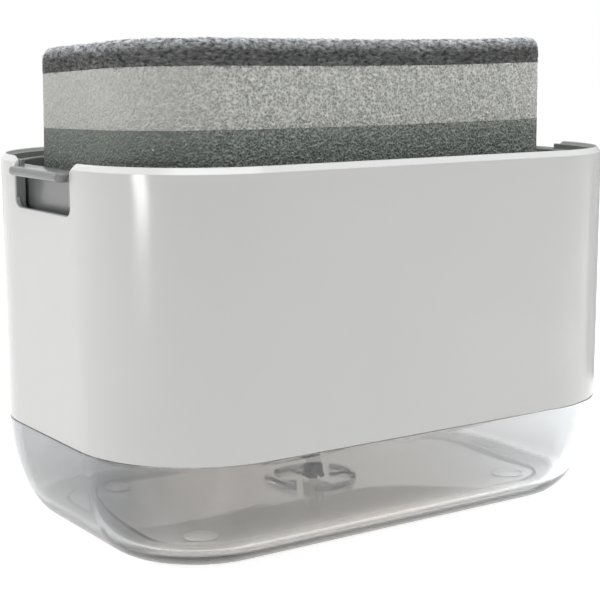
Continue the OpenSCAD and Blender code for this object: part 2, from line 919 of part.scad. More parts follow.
// Block with the sponge's outline
module sponge_plate(z, h) {
  translate([-sponge_shift, 0, z])
    linear_extrude(h)
      round_rect(sponge_l, sponge_w, sponge_r);
}

// Turns what lies over a height about the sponge's front edge, so that it falls towards the back
module fallen(z, fall) {
  translate([0, -sponge_w / 2, z])
    rotate([-fall, 0, 0])
      translate([0, sponge_w / 2, -z])
        children();
}

// All the room over a face that falls towards the back
module room_over(z, fall) {
  fallen(z, fall)
    translate([-body_l, -body_w, z])
      cube([2 * body_l, 2 * body_w, body_h]);
}

module foam_base() {
  color("slategrey")
    difference() {
      sponge_plate(sponge_z, foam_base_t + over);
      room_over(sponge_z + foam_base_t, base_fall);
    }
}

module foam_core() {
  color("gainsboro")
    difference() {
      intersection() {
        sponge_plate(sponge_z, foam_base_t + foam_core_t + over);
        room_over(foam_core_z, base_fall);
      }
      room_over(scour_z - seat, pad_fall);
    }
}

// Scouring pad with a rounded upper edge
module scouring_pad() {
  edge_z = scour_z + scour_t - scour_round;
  core = scour_round + over;
  color("dimgray")
    fallen(scour_z, pad_fall) {
      translate([-sponge_shift, 0, 0])
        around(sponge_l, sponge_w, sponge_r)
          polygon(concat(
            [[-core, scour_z], [0, scour_z]],
            arc(-scour_round, edge_z, scour_round, scour_round, 0, 90, sponge_steps),
            [[-core, scour_z + scour_t]]));
      translate([-sponge_shift, 0, scour_z])
        linear_extrude(scour_t)
          round_rect(sponge_l - 2 * scour_round, sponge_w - 2 * scour_round, sponge_r - scour_round);
    }
}

tank();
tank_feet();
tank_seal();
outer_shell();
inner_frame();
pump_closure();
closure_gasket();
pump_housing();
housing_cap();
inlet_ball();
dip_tube();
tube_strainer();
return_spring();
pump_piston();
piston_rod();
pump_stem();
stem_head();
outlet_valve();
sponge_tray();
foam_base();
foam_core();
scouring_pad();
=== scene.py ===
# %% [markdown]
# # A pump caddy for washing-up liquid
# The object stands by the sink: a clear tank, a white sleeve over it, and a tray with a sponge on top.
# Pressing the tray works a small spring pump that feeds liquid up into the sponge.
# The construction comes packed from CAD. Here each visible piece gets its finish, and the pieces that need
# finer shapes than the CAD solids have are built as surfaces with numpy.

import itertools
import json
import math

import bpy
import numpy as np
from mathutils import Matrix, Vector

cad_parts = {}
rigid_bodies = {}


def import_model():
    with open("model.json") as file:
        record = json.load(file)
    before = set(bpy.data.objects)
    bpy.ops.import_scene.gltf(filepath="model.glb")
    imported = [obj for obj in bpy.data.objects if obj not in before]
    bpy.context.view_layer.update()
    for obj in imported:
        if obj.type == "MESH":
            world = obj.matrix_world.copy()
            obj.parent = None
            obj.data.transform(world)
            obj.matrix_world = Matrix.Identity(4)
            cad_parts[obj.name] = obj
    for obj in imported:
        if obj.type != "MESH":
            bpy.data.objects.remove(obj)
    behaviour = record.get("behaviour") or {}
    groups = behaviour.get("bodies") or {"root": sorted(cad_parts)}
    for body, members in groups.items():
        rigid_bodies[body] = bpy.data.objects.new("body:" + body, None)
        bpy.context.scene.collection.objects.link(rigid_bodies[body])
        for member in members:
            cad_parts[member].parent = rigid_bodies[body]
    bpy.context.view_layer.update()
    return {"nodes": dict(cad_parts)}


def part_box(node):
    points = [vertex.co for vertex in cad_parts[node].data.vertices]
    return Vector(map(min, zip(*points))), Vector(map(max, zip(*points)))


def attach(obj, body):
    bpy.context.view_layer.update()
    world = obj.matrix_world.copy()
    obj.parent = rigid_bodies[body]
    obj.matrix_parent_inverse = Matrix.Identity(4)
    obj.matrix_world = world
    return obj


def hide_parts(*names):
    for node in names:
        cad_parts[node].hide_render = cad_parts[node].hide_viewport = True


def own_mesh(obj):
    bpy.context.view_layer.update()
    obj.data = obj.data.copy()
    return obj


MM = 0.001
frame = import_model()

# %% Body's size
shell_low, shell_high = (np.array(corner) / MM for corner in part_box("outer_shell"))
tank_low, tank_high = (np.array(corner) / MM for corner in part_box("tank"))
BODY_L, BODY_W = (shell_high - shell_low)[:2]
RIM_Z = shell_high[2]
print(f"body {BODY_L:.1f} by {BODY_W:.1f} mm, rim at {RIM_Z:.1f} mm")


# %% [markdown]
# ## Objects and meshes
# Whatever is added is data and an object that shows it. One function links such an object to the scene, and
# another fills a mesh first. Shapes are worked out in millimetres and become metres there.

# %% Objects and meshes
def add_object(name, data):
    """An object in the scene that shows the data."""
    made = bpy.data.objects.new(name, data)
    bpy.context.scene.collection.objects.link(made)
    return made


def add_mesh(name, points_mm, faces, material):
    """A smoothly shaded mesh of one material, from points in mm and faces as lists of point numbers."""
    mesh = bpy.data.meshes.new(name)
    mesh.from_pydata(np.asarray(points_mm) * MM, [], faces)
    mesh.polygons.foreach_set("use_smooth", np.ones(len(faces), bool))
    mesh.materials.append(material)
    return add_object(name, mesh)


# %% [markdown]
# ## Camera
# The camera was fitted to the outline of the sleeve and tank: where it stands, which way it looks, and how
# long its lens is. It is written as a place, two angles and a small roll.

# %% Camera
LENS_MM = 88.71
NEAREST_MM = 10
CAMERA_PLACE_MM = (-209.80, -304.27, 112.08)
AZIMUTH, ELEVATION, ROLL = (math.radians(degrees) for degrees in (-34.222, 9.447, -0.138))


def look_axes(azimuth, elevation, roll):
    """Right, up and back of a camera: back points from the scene to the camera, right is level, and both
    right and up then turn about back by the roll."""
    level = math.cos(elevation)
    back = Vector((math.sin(azimuth) * level, -math.cos(azimuth) * level, math.sin(elevation)))
    right = Vector((math.cos(azimuth), math.sin(azimuth), 0))
    up = back.cross(right)
    return (
        right * math.cos(roll) + up * math.sin(roll),
        up * math.cos(roll) - right * math.sin(roll),
        back,
    )


camera_data = bpy.data.cameras.new("photo_camera")
camera_data.lens = LENS_MM
camera_data.clip_start = NEAREST_MM * MM
camera = add_object("photo_camera", camera_data)
camera.matrix_world = (
    Matrix.Translation(Vector(CAMERA_PLACE_MM) * MM)
    @ Matrix(look_axes(AZIMUTH, ELEVATION, ROLL)).transposed().to_4x4()
)
bpy.context.scene.camera = camera
bpy.context.scene.view_settings.view_transform = "Standard"
print("camera at", [round(x, 4) for x in camera.location])


# %% [markdown]
# ## Colours and nodes
# Colours are written as sRGB hex, as one picks them off a screen, but shaders add light in linear numbers.
# One function turns the first into the second. Another adds a node with its settings and its links, so that
# a material reads as a short list of what feeds what.

# %% Colours
def linear(code):
    """Linear RGBA of a hex colour: each channel is undone from the sRGB curve."""
    channels = np.array([int(code[i : i + 2], 16) for i in (1, 3, 5)]) / 255
    low = channels / 12.92
    high = ((channels + 0.055) / 1.055) ** 2.4
    return (*np.where(channels <= 0.04045, low, high).tolist(), 1.0)


print("screen grey #808080 is", round(linear("#808080")[0], 3), "in linear light")


# %% Nodes and materials
def fill(tree, node, inputs):
    """Fills a node's inputs, by name or number, with plain values or with other nodes' outputs. A node stands
    for its first output in use."""
    for key, value in inputs.items():
        if isinstance(value, bpy.types.Node):
            value = next(output for output in value.outputs if output.enabled)
        if isinstance(value, bpy.types.NodeSocket):
            tree.links.new(value, node.inputs[key])
        else:
            node.inputs[key].default_value = value


def add(tree, kind, inputs=None, **settings):
    """Adds a node with its own settings and its inputs."""
    made = tree.nodes.new(kind)
    for name, value in settings.items():
        setattr(made, name, value)
    fill(tree, made, inputs or {})
    return made


def span(low, high, start=0.0, end=1.0, unit=1.0):
    """Inputs of a Map Range node: from low to high, in that unit, it goes from start to end, no further."""
    return {"From Min": low * unit, "From Max": high * unit, "To Min": start, "To Max": end}


def per_mm(size):
    """Scale of a pattern on Object coordinates, which are metres, so that it repeats about every size mm."""
    return 1 / (size * MM)


def new_material(name):
    """A material, its node tree, its one Principled shader, and Object coordinates for its patterns."""
    made = bpy.data.materials.new(name)
    made.use_nodes = True
    tree = made.node_tree
    place = add(tree, "ShaderNodeTexCoord").outputs["Object"]
    return made, tree, tree.nodes["Principled BSDF"], place


# %% [markdown]
# Wear, soap film and rubbed ends change along the object, not at random. Two small patterns on Object
# coordinates serve for all of them: a tone that follows a length in millimetres, and the share of the way
# from the middle of the body out to its sides.

# %% Patterns that follow the object
def tone_along(tree, length, stops):
    """A tone that changes along a length: each stop is a place in mm and a hex colour or a plain number."""
    low, high = stops[0][0], stops[-1][0]
    share = add(tree, "ShaderNodeMapRange", {"Value": length, **span(low, high, unit=MM)})
    ramp = add(tree, "ShaderNodeValToRGB", {"Fac": share})
    marks = ramp.color_ramp.elements
    for place, _ in stops[1:-1]:
        marks.new((place - low) / (high - low))
    for mark, (_, tone) in zip(marks, stops):
        mark.color = linear(tone) if isinstance(tone, str) else (tone, tone, tone, 1)
    return ramp


def edge_share(tree, place):
    """How far out a point lies in plan: 0 in the middle and 1 on the body's straight sides."""
    scale = (per_mm(BODY_L / 2), per_mm(BODY_W / 2), 0)
    scaled = add(tree, "ShaderNodeMapping", {"Vector": place, "Scale": scale})
    plain = add(tree, "ShaderNodeVectorMath", {0: scaled}, operation="ABSOLUTE")
    parts = add(tree, "ShaderNodeSeparateXYZ", {0: plain}).outputs
    return add(tree, "ShaderNodeMath", {0: parts["X"], 1: parts["Y"]}, operation="MAXIMUM")


# %% [markdown]
# ## Room
# The photograph has a white background and soft light, more of it from the left. The camera, mirror
# reflections and clear plastic see a white world, while surfaces are lit by a dimmer one and by soft lamps,
# so that the object keeps its own colours.

# %% World
AMBIENT = "#8D8E90"


def seen_directly(tree):
    """1 for rays that show the background: from the camera, a mirror reflection or through clear plastic."""
    path = add(tree, "ShaderNodeLightPath").outputs
    either = {0: path["Is Camera Ray"], 1: path["Is Glossy Ray"]}
    one_of_two = add(tree, "ShaderNodeMath", either, operation="MAXIMUM")
    either = {0: one_of_two, 1: path["Is Transmission Ray"]}
    return add(tree, "ShaderNodeMath", either, operation="MAXIMUM")


world = bpy.data.worlds.new("white_room")
world.use_nodes = True
bpy.context.scene.world = world
room = world.node_tree
lit = add(
    room, "ShaderNodeMix",
    {"Factor": seen_directly(room), "A": linear(AMBIENT), "B": linear("#FFFFFF")}, data_type="RGBA",
)
fill(room, room.nodes["Background"], {"Color": lit})
print("world: white where seen,", AMBIENT, "as light")


# %% [markdown]
# ## Table
# The table adds a little light of its own for the camera, so it comes out white where the lamps reach it and
# still keeps the object's shadow. Seen through clear plastic it has another strength. A real clear base
# gathers light from all round and sends it up through its foot as a bright line. A renderer finds such paths
# by chance only, so the table glows there instead: evenly under the tank, and in a line along the front foot
# and up both ends.

# %% Table
TABLE_HALF_MM = 3000
GLOW_SEEN = 0.8
GLOW_UNDER, GLOW_BEYOND = 0.76, 0.35
BODY_EDGE = (0.9, 1.05)
FRONT_LINE = [(-46, 0.0), (-41, 0.8), (-36, 1.15), (-31, 0.85), (-27, 0.35), (-20, 0.12), (-10, 0.0)]
END_LINE = [(43, 0.0), (55, 1.0), (61, 1.0), (66, 0.1)]
END_LINE_FADE_MM = (-25, 5)
ONE_QUAD = [(0, 1, 2, 3)]

# Matt white lacquer: no highlight, only the object's soft shadow.
white_lacquer, tree, shader, place = new_material("matt_white_lacquered_table")
seen = add(tree, "ShaderNodeMath", {0: seen_directly(tree), 1: GLOW_SEEN}, operation="MULTIPLY")
under = {"Value": edge_share(tree, place), **span(*BODY_EDGE, GLOW_UNDER, GLOW_BEYOND)}
even = add(tree, "ShaderNodeMapRange", under)
spot = add(tree, "ShaderNodeSeparateXYZ", {0: place}).outputs
aside = add(tree, "ShaderNodeMath", {0: spot["X"]}, operation="ABSOLUTE")
fading = add(tree, "ShaderNodeMapRange", {"Value": spot["Y"], **span(*END_LINE_FADE_MM, 1.0, 0.0, MM)})
at_ends = {0: tone_along(tree, aside, END_LINE), 1: fading}
end_line = add(tree, "ShaderNodeMath", at_ends, operation="MULTIPLY")
front_line = tone_along(tree, spot["Y"], FRONT_LINE)
foot_line = add(tree, "ShaderNodeMath", {0: end_line, 1: front_line}, operation="MAXIMUM")
bent = add(tree, "ShaderNodeMath", {0: even, 1: foot_line}, operation="ADD")
through = add(tree, "ShaderNodeLightPath").outputs["Is Transmission Ray"]
glow = add(tree, "ShaderNodeMix", {"Factor": through, "A": seen, "B": bent})
fill(tree, shader, {
    "Base Color": linear("#F0EFED"), "Roughness": 0.9, "Specular IOR Level": 0.0,
    "Emission Color": linear("#FFFFFF"), "Emission Strength": glow,
})

table_ends = [(-1, -1, 0), (1, -1, 0), (1, 1, 0), (-1, 1, 0)]
floor = add_mesh("floor", np.array(table_ends) * TABLE_HALF_MM, ONE_QUAD, white_lacquer)
print("table:", 2 * TABLE_HALF_MM / 1000, "m wide")


# %% [markdown]
# ## Lamps
# Two large softboxes, at the back left and overhead, give the even light. A narrow strip at the left makes
# the long highlight on the sleeve's corner. The three others only lift the front and the right end, so
# mirror reflections leave them out.

# %% Lamps
def add_lamp(name, place_mm, aim_mm, size_mm, power, mirrored=True):
    """A soft rectangular lamp at a place, turned to face a point. Mirror reflections show it or don't."""
    data = bpy.data.lights.new(name, "AREA")
    data.shape = "RECTANGLE"
    data.size, data.size_y = (x * MM for x in size_mm)
    data.energy = power
    lamp = add_object(name, data)
    place, aim = Vector(place_mm) * MM, Vector(aim_mm) * MM
    lamp.location = place
    lamp.rotation_euler = (aim - place).to_track_quat("-Z", "Y").to_euler()
    lamp.visible_glossy = mirrored


add_lamp("back_left_softbox", (-700, 680, 350), (0, 0, 60), (350, 350), 2.0)
add_lamp("top_softbox", (0, -150, 1000), (0, 0, 60), (900, 700), 6.4)
add_lamp("right_rim_light", (600, -90, 130), (60, 0, 70), (220, 200), 0.3, mirrored=False)
add_lamp("front_fill", (620, -760, 160), (20, 0, 50), (400, 300), 0.34, mirrored=False)
add_lamp("table_bounce", (230, -170, 14), (60, -42, 38), (90, 40), 0.07, mirrored=False)
add_lamp("corner_strip", (-506, -150, 55), (-67, -35, 55), (90, 46), 0.24)


# %% [markdown]
# A white object before a white room loses its outline, since its edges mirror the room. Photographers stand
# a grey card just out of the picture for that. Here it stands behind the object's right end, and only mirror
# reflections see it.

# %% Grey card
CARD_MM = [(215, -50), (125, 150)]
CARD_H = 200

# Matt pale grey cardboard: a shade darker than the room where the sleeve's right edge mirrors it.
grey_board, tree, shader, _ = new_material("matt_grey_cardboard")
fill(tree, shader, {"Base Color": linear("#D2D2D2"), "Roughness": 0.9})
card_foot = [(x, y, 0) for x, y in CARD_MM]
card_head = [(x, y, CARD_H) for x, y in CARD_MM[::-1]]
card = add_mesh("grey_card", card_foot + card_head, ONE_QUAD, grey_board)
for ray in ("camera", "diffuse", "transmission", "volume_scatter", "shadow"):
    setattr(card, f"visible_{ray}", False)
print("grey card:", CARD_H, "mm high")


# %% [markdown]
# ## Surfaces from grids
# Each new piece is a grid of points. The columns run round the body, and the rows follow its section, so
# one function can turn any such grid into a mesh.

# %% Grid to mesh
def add_surface(name, points, material, wrap_rows=False, caps=(False, False), crease=35):
    """Joins neighbouring points of a grid, rows by columns, into quads. The columns close on themselves. The
    rows may too, or an end row is closed by triangles to one point in its middle. Corners sharper than the
    crease angle stay sharp, and the rest is shaded smooth."""
    rows, columns = points.shape[:2]
    index = np.arange(rows * columns).reshape(rows, columns)
    low, high = index, np.roll(index, -1, axis=0)
    if not wrap_rows:
        low, high = low[:-1], high[:-1]
    quads = np.stack([low, np.roll(low, -1, 1), np.roll(high, -1, 1), high], axis=-1)
    faces = quads.reshape(-1, 4).tolist()
    vertices = [points.reshape(-1, 3)]
    for wanted, row, turn in ((caps[0], 0, -1), (caps[1], -1, 1)):
        if wanted:
            pole = rows * columns + len(vertices) - 1
            vertices.append(points[row].mean(axis=0, keepdims=True))
            ring = index[row][::turn]
            fan = np.stack([ring, np.roll(ring, -1), np.full(columns, pole)], axis=-1)
            faces += fan.tolist()
    piece = add_mesh(name, np.concatenate(vertices), faces, material)
    piece.data.set_sharp_from_angle(angle=math.radians(crease))
    print(f"{name}: {len(piece.data.vertices)} points, {len(faces)} faces")
    return piece


def dress(piece, body, slot, *nodes):
    """The piece rides on its body and stands for these CAD nodes, which it hides. The slot is not used."""
    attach(piece, body)
    if nodes:
        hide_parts(*nodes)
    return piece


# %% [markdown]
# ## The body's outline
# Sleeve, frame, tank and tray all follow one rounded rectangle, drawn in by different amounts. It is the
# path of a circle whose middle is carried round a smaller rectangle. Drawing the outline in makes the
# circle smaller and leaves its middle alone, so all the pieces stay parallel.

# %% Outline
CORNER_R = 30.4
COLUMN_MM = 1.4


def unit_length(vectors):
    """The same directions with a length of 1."""
    return vectors / np.linalg.norm(vectors, axis=-1, keepdims=True)


def raised(rows, heights):
    """Rows of flat points, each lifted to its height, or all to one."""
    z = np.broadcast_to(np.reshape(heights, (-1, 1, 1)), rows.shape[:2] + (1,))
    return np.concatenate([rows, z], -1)


def carried_circle(s, length, width, radius):
    """Middle of the corner circle and outward direction at a distance s round a rounded rectangle, from the
    middle of its +X end. In a corner the middle rests and the direction turns by 90 degrees; along a side
    the middle moves and the direction rests."""
    a, b = length / 2 - radius, width / 2 - radius
    turn = math.pi / 2 * radius
    stops = np.cumsum([0, b, turn, 2 * a, turn, 2 * b, turn, 2 * a, turn, b])
    s = s % stops[-1]
    x = np.interp(s, stops, [a, a, a, -a, -a, -a, -a, a, a, a])
    y = np.interp(s, stops, [0, b, b, b, b, -b, -b, -b, -b, 0])
    angle = np.radians(np.interp(s, stops, [0, 0, 90, 90, 180, 180, 270, 270, 360, 360]))
    return np.stack([x, y], -1), np.stack([np.cos(angle), np.sin(angle)], -1)


def perimeter(length, width, radius):
    """Way round a rounded rectangle: that of the full rectangle, less what its four round corners save."""
    return 2 * (length + width) - (8 - 2 * math.pi) * radius


def around(profile, length, width, radius, column=COLUMN_MM, centre=(0, 0)):
    """Carries a profile round a rounded rectangle. A profile point is an inset and a height: the inset
    makes the carried circle smaller. Gives rows by columns by XYZ."""
    total = perimeter(length, width, radius)
    columns = 4 * math.ceil(total / column / 4)
    middle, outward = carried_circle(np.arange(columns) * total / columns, length, width, radius)
    inset, z = np.asarray(profile, float).T
    return raised(middle + (radius - inset)[:, None, None] * outward + np.asarray(centre), z)


def arc(centre, radius, start, end, steps):
    """Points of a circular arc in a profile, from one angle to another in degrees, both included."""
    angle = np.radians(np.linspace(start, end, steps + 1))
    return centre + radius * np.stack([np.cos(angle), np.sin(angle)], -1)


def line(start, end, steps):
    """Points on a straight line, both ends included."""
    return np.linspace(start, end, steps + 1)


def to_circle(edge, radius, shares):
    """Rows that turn an outline into a circle: each point moves towards the circle's point that lies in its
    own direction from the middle, by its row's share of the way."""
    flat = edge[:, :2]
    return raised(flat + np.reshape(shares, (-1, 1, 1)) * (radius * unit_length(flat) - flat), edge[0, 2])


def circles(directions, profile):
    """Rows of circles about the middle. A profile point is a radius and a height, and the columns keep the
    directions that they have in the given row."""
    radius, z = np.asarray(profile, float).T
    return raised(radius[:, None, None] * unit_length(directions[:, :2]), z)


def smooth(x, low, high):
    """0 below low, 1 above high, and a smooth turn between them."""
    t = np.clip((x - low) / (high - low), 0, 1)
    return t * t * (3 - 2 * t)


print(f"way round the body: {perimeter(BODY_L, BODY_W, CORNER_R):.1f} mm")


# %% [markdown]
# ## Random patterns for whole arrays
# Foam and fibres need noise in the shape itself, not only in the shading. Two kinds are enough: cells, whose
# value is the distance to the nearest of scattered points, and soft noise between random corner values.
# Both take all points at once, and loop only over the few neighbours of a cell.

# %% Noise
def scatter(cells, seed):
    """Three random numbers from 0 to 1 for each whole-number cell, always the same for the same cell."""
    mix = np.array([[127.1, 311.7, 74.7], [269.5, 183.3, 246.1], [113.5, 271.9, 124.6]])
    return (np.sin(cells @ mix.T + seed) * 43758.5453) % 1


def cell_noise(points, size, seed):
    """Distance from each point to the nearest scattered point, in cells: about 0 in the middle of a cell and
    about 0.9 where cells meet."""
    scaled = points / size
    base = np.floor(scaled)
    nearest = np.full(len(points), 9.0)
    for offset in itertools.product((-1, 0, 1), repeat=3):
        cell = base + offset
        nearest = np.minimum(nearest, np.linalg.norm(scaled - cell - scatter(cell, seed), axis=1))
    return nearest


def soft_noise(points, size, seed):
    """Random corner values of a grid of that size, blended smoothly between corners, from -1 to 1."""
    scaled = points / size
    base = np.floor(scaled)
    t = smooth(scaled - base, 0, 1)
    total = np.zeros(len(points))
    for offset in itertools.product((0, 1), repeat=3):
        weight = np.prod(np.where(np.array(offset) == 1, t, 1 - t), axis=1)
        total += weight * scatter(base + offset, seed)[:, 0]
    return total * 2 - 1


# %% [markdown]
# ## White sleeve
# The sleeve is injection-moulded ABS. Its mould was spark-eroded to a fine satin grain, which spreads a
# highlight without hiding it. The grain is a fraction of a millimetre, finer than a pixel here, so it is
# drawn a little coarser to show as a faint speckle. The bevelled rim and the top of the wall are painted a
# touch paler, a painted highlight for the light from above that the rim catches.

# %% White ABS
GRAIN_MM = 0.45
CLOUD_MM = 38
BEVEL_H = 1.4
BEVEL_FOOT = RIM_Z - BEVEL_H
BEVEL_BLEND = 0.2
GRAIN_RELIEF = 0.03
LEAST_ROUGH, MOST_ROUGH = 0.14, 0.21

# Satin white: even and soft, with long clear highlights along the corners.
white_abs, tree, shader, place = new_material("white_ABS_satin_moulded")
grain = add(tree, "ShaderNodeTexNoise", {"Vector": place, "Scale": per_mm(GRAIN_MM), "Detail": 3.0})
cloud = add(tree, "ShaderNodeTexNoise", {"Vector": place, "Scale": per_mm(CLOUD_MM), "Detail": 2.0})
tints = {"Factor": cloud, "A": linear("#E0E0DF"), "B": linear("#E5E5E3")}
tint = add(tree, "ShaderNodeMix", tints, data_type="RGBA")
height = add(tree, "ShaderNodeSeparateXYZ", {0: place}).outputs["Z"]
# Painted highlight: above the bevel's foot the tint turns to a paler white, for the light the rim catches.
bevel_span = span(BEVEL_FOOT, BEVEL_FOOT + BEVEL_BLEND, unit=MM)
rim_highlight_share = add(tree, "ShaderNodeMapRange", {"Value": height, **bevel_span})
tints = {"Factor": rim_highlight_share, "A": tint, "B": linear("#F6F6F5")}
bevelled = add(tree, "ShaderNodeMix", tints, data_type="RGBA")
gloss = add(tree, "ShaderNodeMapRange", {"Value": grain, "To Min": LEAST_ROUGH, "To Max": MOST_ROUGH})
relief = add(tree, "ShaderNodeBump", {"Height": grain, "Strength": 0.12, "Distance": GRAIN_RELIEF * MM})
fill(tree, shader, {"Base Color": bevelled, "Roughness": gloss, "IOR": 1.54, "Normal": relief})
print("sleeve material:", white_abs.name)


# %% [markdown]
# The sleeve is one wall with a bevelled rim and a finger notch in each end. Cutting the notch out of a
# swept wall would leave it with a hard, unbevelled edge. So the grid's columns start on the edge itself,
# which runs along the rim, rounds down into the notch and comes up again, and they fan out down to the
# seam. The rows go over the edge from the outer face to the inner one, so rim and notch get one rounded
# edge. On the rim it is a high bevel, in the notch a small rounding.

# %% Sleeve's upper edge
SHELL_WALL = 1.3
NOTCH_HALF = 14.4
NOTCH_Z = 77.5
NOTCH_R = 2.2
FLARE_R = 2.2
BEVEL_IN = 0.9
EDGE_R = 0.2
NOTCH_EDGE = 0.4
NOTCH_EDGE_R = 0.25
INNER_R = 0.2
SEAM_R = 0.05
SEAM_CLOSE = 0.22
WALL_ROWS = 12

quarter = perimeter(BODY_L, BODY_W, CORNER_R) / 4
print(f"from the middle of a notch to the middle of a long side: {quarter:.1f} mm round the body")


def sleeve_edge():
    """The edge from the middle of a notch to the middle of a long side, as distance round the body and
    height: straight, a quarter circle up, straight up, a quarter circle out into the rim, and the rim."""
    side, top = NOTCH_HALF, RIM_Z
    return np.concatenate([
        line((0, NOTCH_Z), (side - NOTCH_R, NOTCH_Z), 10)[:-1],
        arc((side - NOTCH_R, NOTCH_Z + NOTCH_R), NOTCH_R, -90, 0, 10)[:-1],
        line((side, NOTCH_Z + NOTCH_R), (side, top - FLARE_R), 8)[:-1],
        arc((side + FLARE_R, top - FLARE_R), FLARE_R, 180, 90, 12)[:-1],
        line((side + FLARE_R, top), (quarter, top), 66),
    ])


def all_round(half, shift):
    """Half an end's points or directions, mirrored to the whole end, and that once more, shifted along."""
    end = np.concatenate([half[:0:-1] * (-1, 1), half])[:-1]
    return np.concatenate([end, end + (shift, 0)])


def away(half):
    """Direction from the edge into the wall, square to it: its own direction turned by 90 degrees."""
    step = unit_length(np.gradient(half, axis=0))
    return np.stack([step[:, 1], -step[:, 0]], -1)


# %% Sleeve
half = sleeve_edge()
edge = all_round(half, 2 * quarter)
into = all_round(away(half), 0)
on_rim = smooth(edge[:, 1], RIM_Z - FLARE_R, RIM_Z)

count = len(edge)
foot = np.column_stack([
    np.arange(count) * 4 * quarter / count - quarter,
    np.full(count, shell_low[2] - SEAM_CLOSE),
])
bevel_h = NOTCH_EDGE + (BEVEL_H - NOTCH_EDGE) * on_rim
edge_r = NOTCH_EDGE_R + (EDGE_R - NOTCH_EDGE_R) * on_rim
bevel_in = BEVEL_IN * on_rim


def sleeve_row(drop, inset, down=0.0):
    """One row: the edge moved into the wall by the drop, then a share of the way down to the seam."""
    start = edge + into * np.reshape(drop, (-1, 1))
    u, z = (start + (foot - start) * down).T
    middle, outward = carried_circle(u, BODY_L, BODY_W, CORNER_R)
    flat = middle + (CORNER_R - np.reshape(inset, (-1, 1))) * outward
    return np.column_stack([flat, z])


downs = np.linspace(1, 0, WALL_ROWS + 1)
outer = [sleeve_row(bevel_h, 0, down) for down in downs]
outer[0][:, 2] += SEAM_R
bevel = [
    sleeve_row(edge_r + (bevel_h - edge_r) * (1 - share), bevel_in * share) for share in (0.5, 1.0)
]
turn = [
    sleeve_row(edge_r * (1 - math.sin(a)), bevel_in + edge_r * (1 - math.cos(a)))
    for a in np.radians([22.5, 45, 67.5, 90])
]
back = [sleeve_row(0, SHELL_WALL - INNER_R), sleeve_row(INNER_R, SHELL_WALL)]
inner = [sleeve_row(INNER_R, SHELL_WALL, down) for down in downs[::-1][1:]]
under = [sleeve_row(bevel_h, SEAM_R, 1.0)]
sleeve_points = np.stack(outer + bevel + turn + back + inner + under)
sleeve = add_surface("white_sleeve", sleeve_points, white_abs, wrap_rows=True, crease=24)
dress(sleeve, "housing", "white_sleeve", "outer_shell")


# %% [markdown]
# ## Clear tank
# The tank is clear styrene, moulded with polished faces. What shows is not the plastic but what it bends:
# the bowl's inner and outer curves work as a lens on the table and the pump. Plastic with a real wall is
# needed for that, so the tank is one closed surface, from the middle of the hollow underside out round the
# curved base, up to the mouth, and back down the inside to the floor with its broken ring.
# A tank in use isn't flawless: its outer foot is rubbed dull and its underside is scuffed, so both show as
# A faint grey tint is laid over it, with painted shade that darkens it towards the left end and leaves the
# right end near clear, and painted shade makes the ring on its floor a little darker.

# %% Clear styrene
POLISHED = 0.03
RUBBED = 0.35
RUBBED_Z = (1, 6)
OUTSIDE_SHARE = (0.78, 0.84)
SCUFFED_CLEAR, CLEAR = 0.3, 0.97
SCUFFED_Z = (1.6, 3.6)
# A faint grey tint along the tank, with painted shade: darkest at the left end, near clear at the right.
TINT_AND_LEFT_SHADE = [(-72, "#ABB0B5"), (-60, "#D9D7D5"), (0, "#E6E3DF"), (68, "#F4F7FA")]
# Painted shade on the floor's ring: a darker, purplish grey for the dark strokes its walls show.
RING_PAINTED_SHADE = "#C3BECB"
RING_REACH = (12, 12.5)
RING_RISE = (4.6, 4.8)

# Clear, polished plastic that bends what lies behind it and darkens where it is seen edge on.
clear_styrene, tree, shader, place = new_material("clear_styrene_polished")
axes = add(tree, "ShaderNodeSeparateXYZ", {0: place}).outputs
rubbed = add(tree, "ShaderNodeMapRange", {"Value": axes["Z"], **span(*RUBBED_Z, RUBBED, POLISHED, MM)})
outside = span(*OUTSIDE_SHARE, POLISHED, rubbed)
rough = add(tree, "ShaderNodeMapRange", {"Value": edge_share(tree, place), **outside})
clear = add(tree, "ShaderNodeMapRange", {"Value": axes["Z"], **span(*SCUFFED_Z, SCUFFED_CLEAR, CLEAR, MM)})
flat = add(tree, "ShaderNodeMapping", {"Vector": place, "Scale": (1, 1, 0)})
radius = add(tree, "ShaderNodeVectorMath", {0: flat}, operation="LENGTH")
within = add(tree, "ShaderNodeMapRange", {"Value": radius, **span(*RING_REACH, 1, 0, MM)})
ring_shade_share = add(tree, "ShaderNodeMapRange", {"Value": axes["Z"], **span(*RING_RISE, 0, within, MM)})
tints = {"Factor": ring_shade_share, "A": tone_along(tree, axes["X"], TINT_AND_LEFT_SHADE), "B": linear(RING_PAINTED_SHADE)}
tint = add(tree, "ShaderNodeMix", tints, data_type="RGBA")
fill(tree, shader, {"Base Color": tint, "Roughness": rough, "IOR": 1.57, "Transmission Weight": clear})
print("tank material:", clear_styrene.name)

# %% Tank's section
BASE_Z = tank_low[2]
TANK_TOP = tank_high[2]
WINDOW_H = 25.4
ROUND_H = 22.3
ROUND_IN = 10.2
DRAFT_IN = 2.0
RING_W = 3.0
HOLLOW_Z = 2.1
FLOOR_Z = 4.5
SPIGOT_IN = 1.6
MOUTH_IN = 3.4
BOWL_H = 17.8
BOWL_IN = 6.3
CURVE_STEPS = 30
HOLLOW_EDGE = 1.0
FOOT_IN, FOOT_UP = 0.2, 0.15
LIP_R = 0.2
SPIGOT_FOOT = 0.3
TOP_R = 0.5
MOUTH_R = 0.4

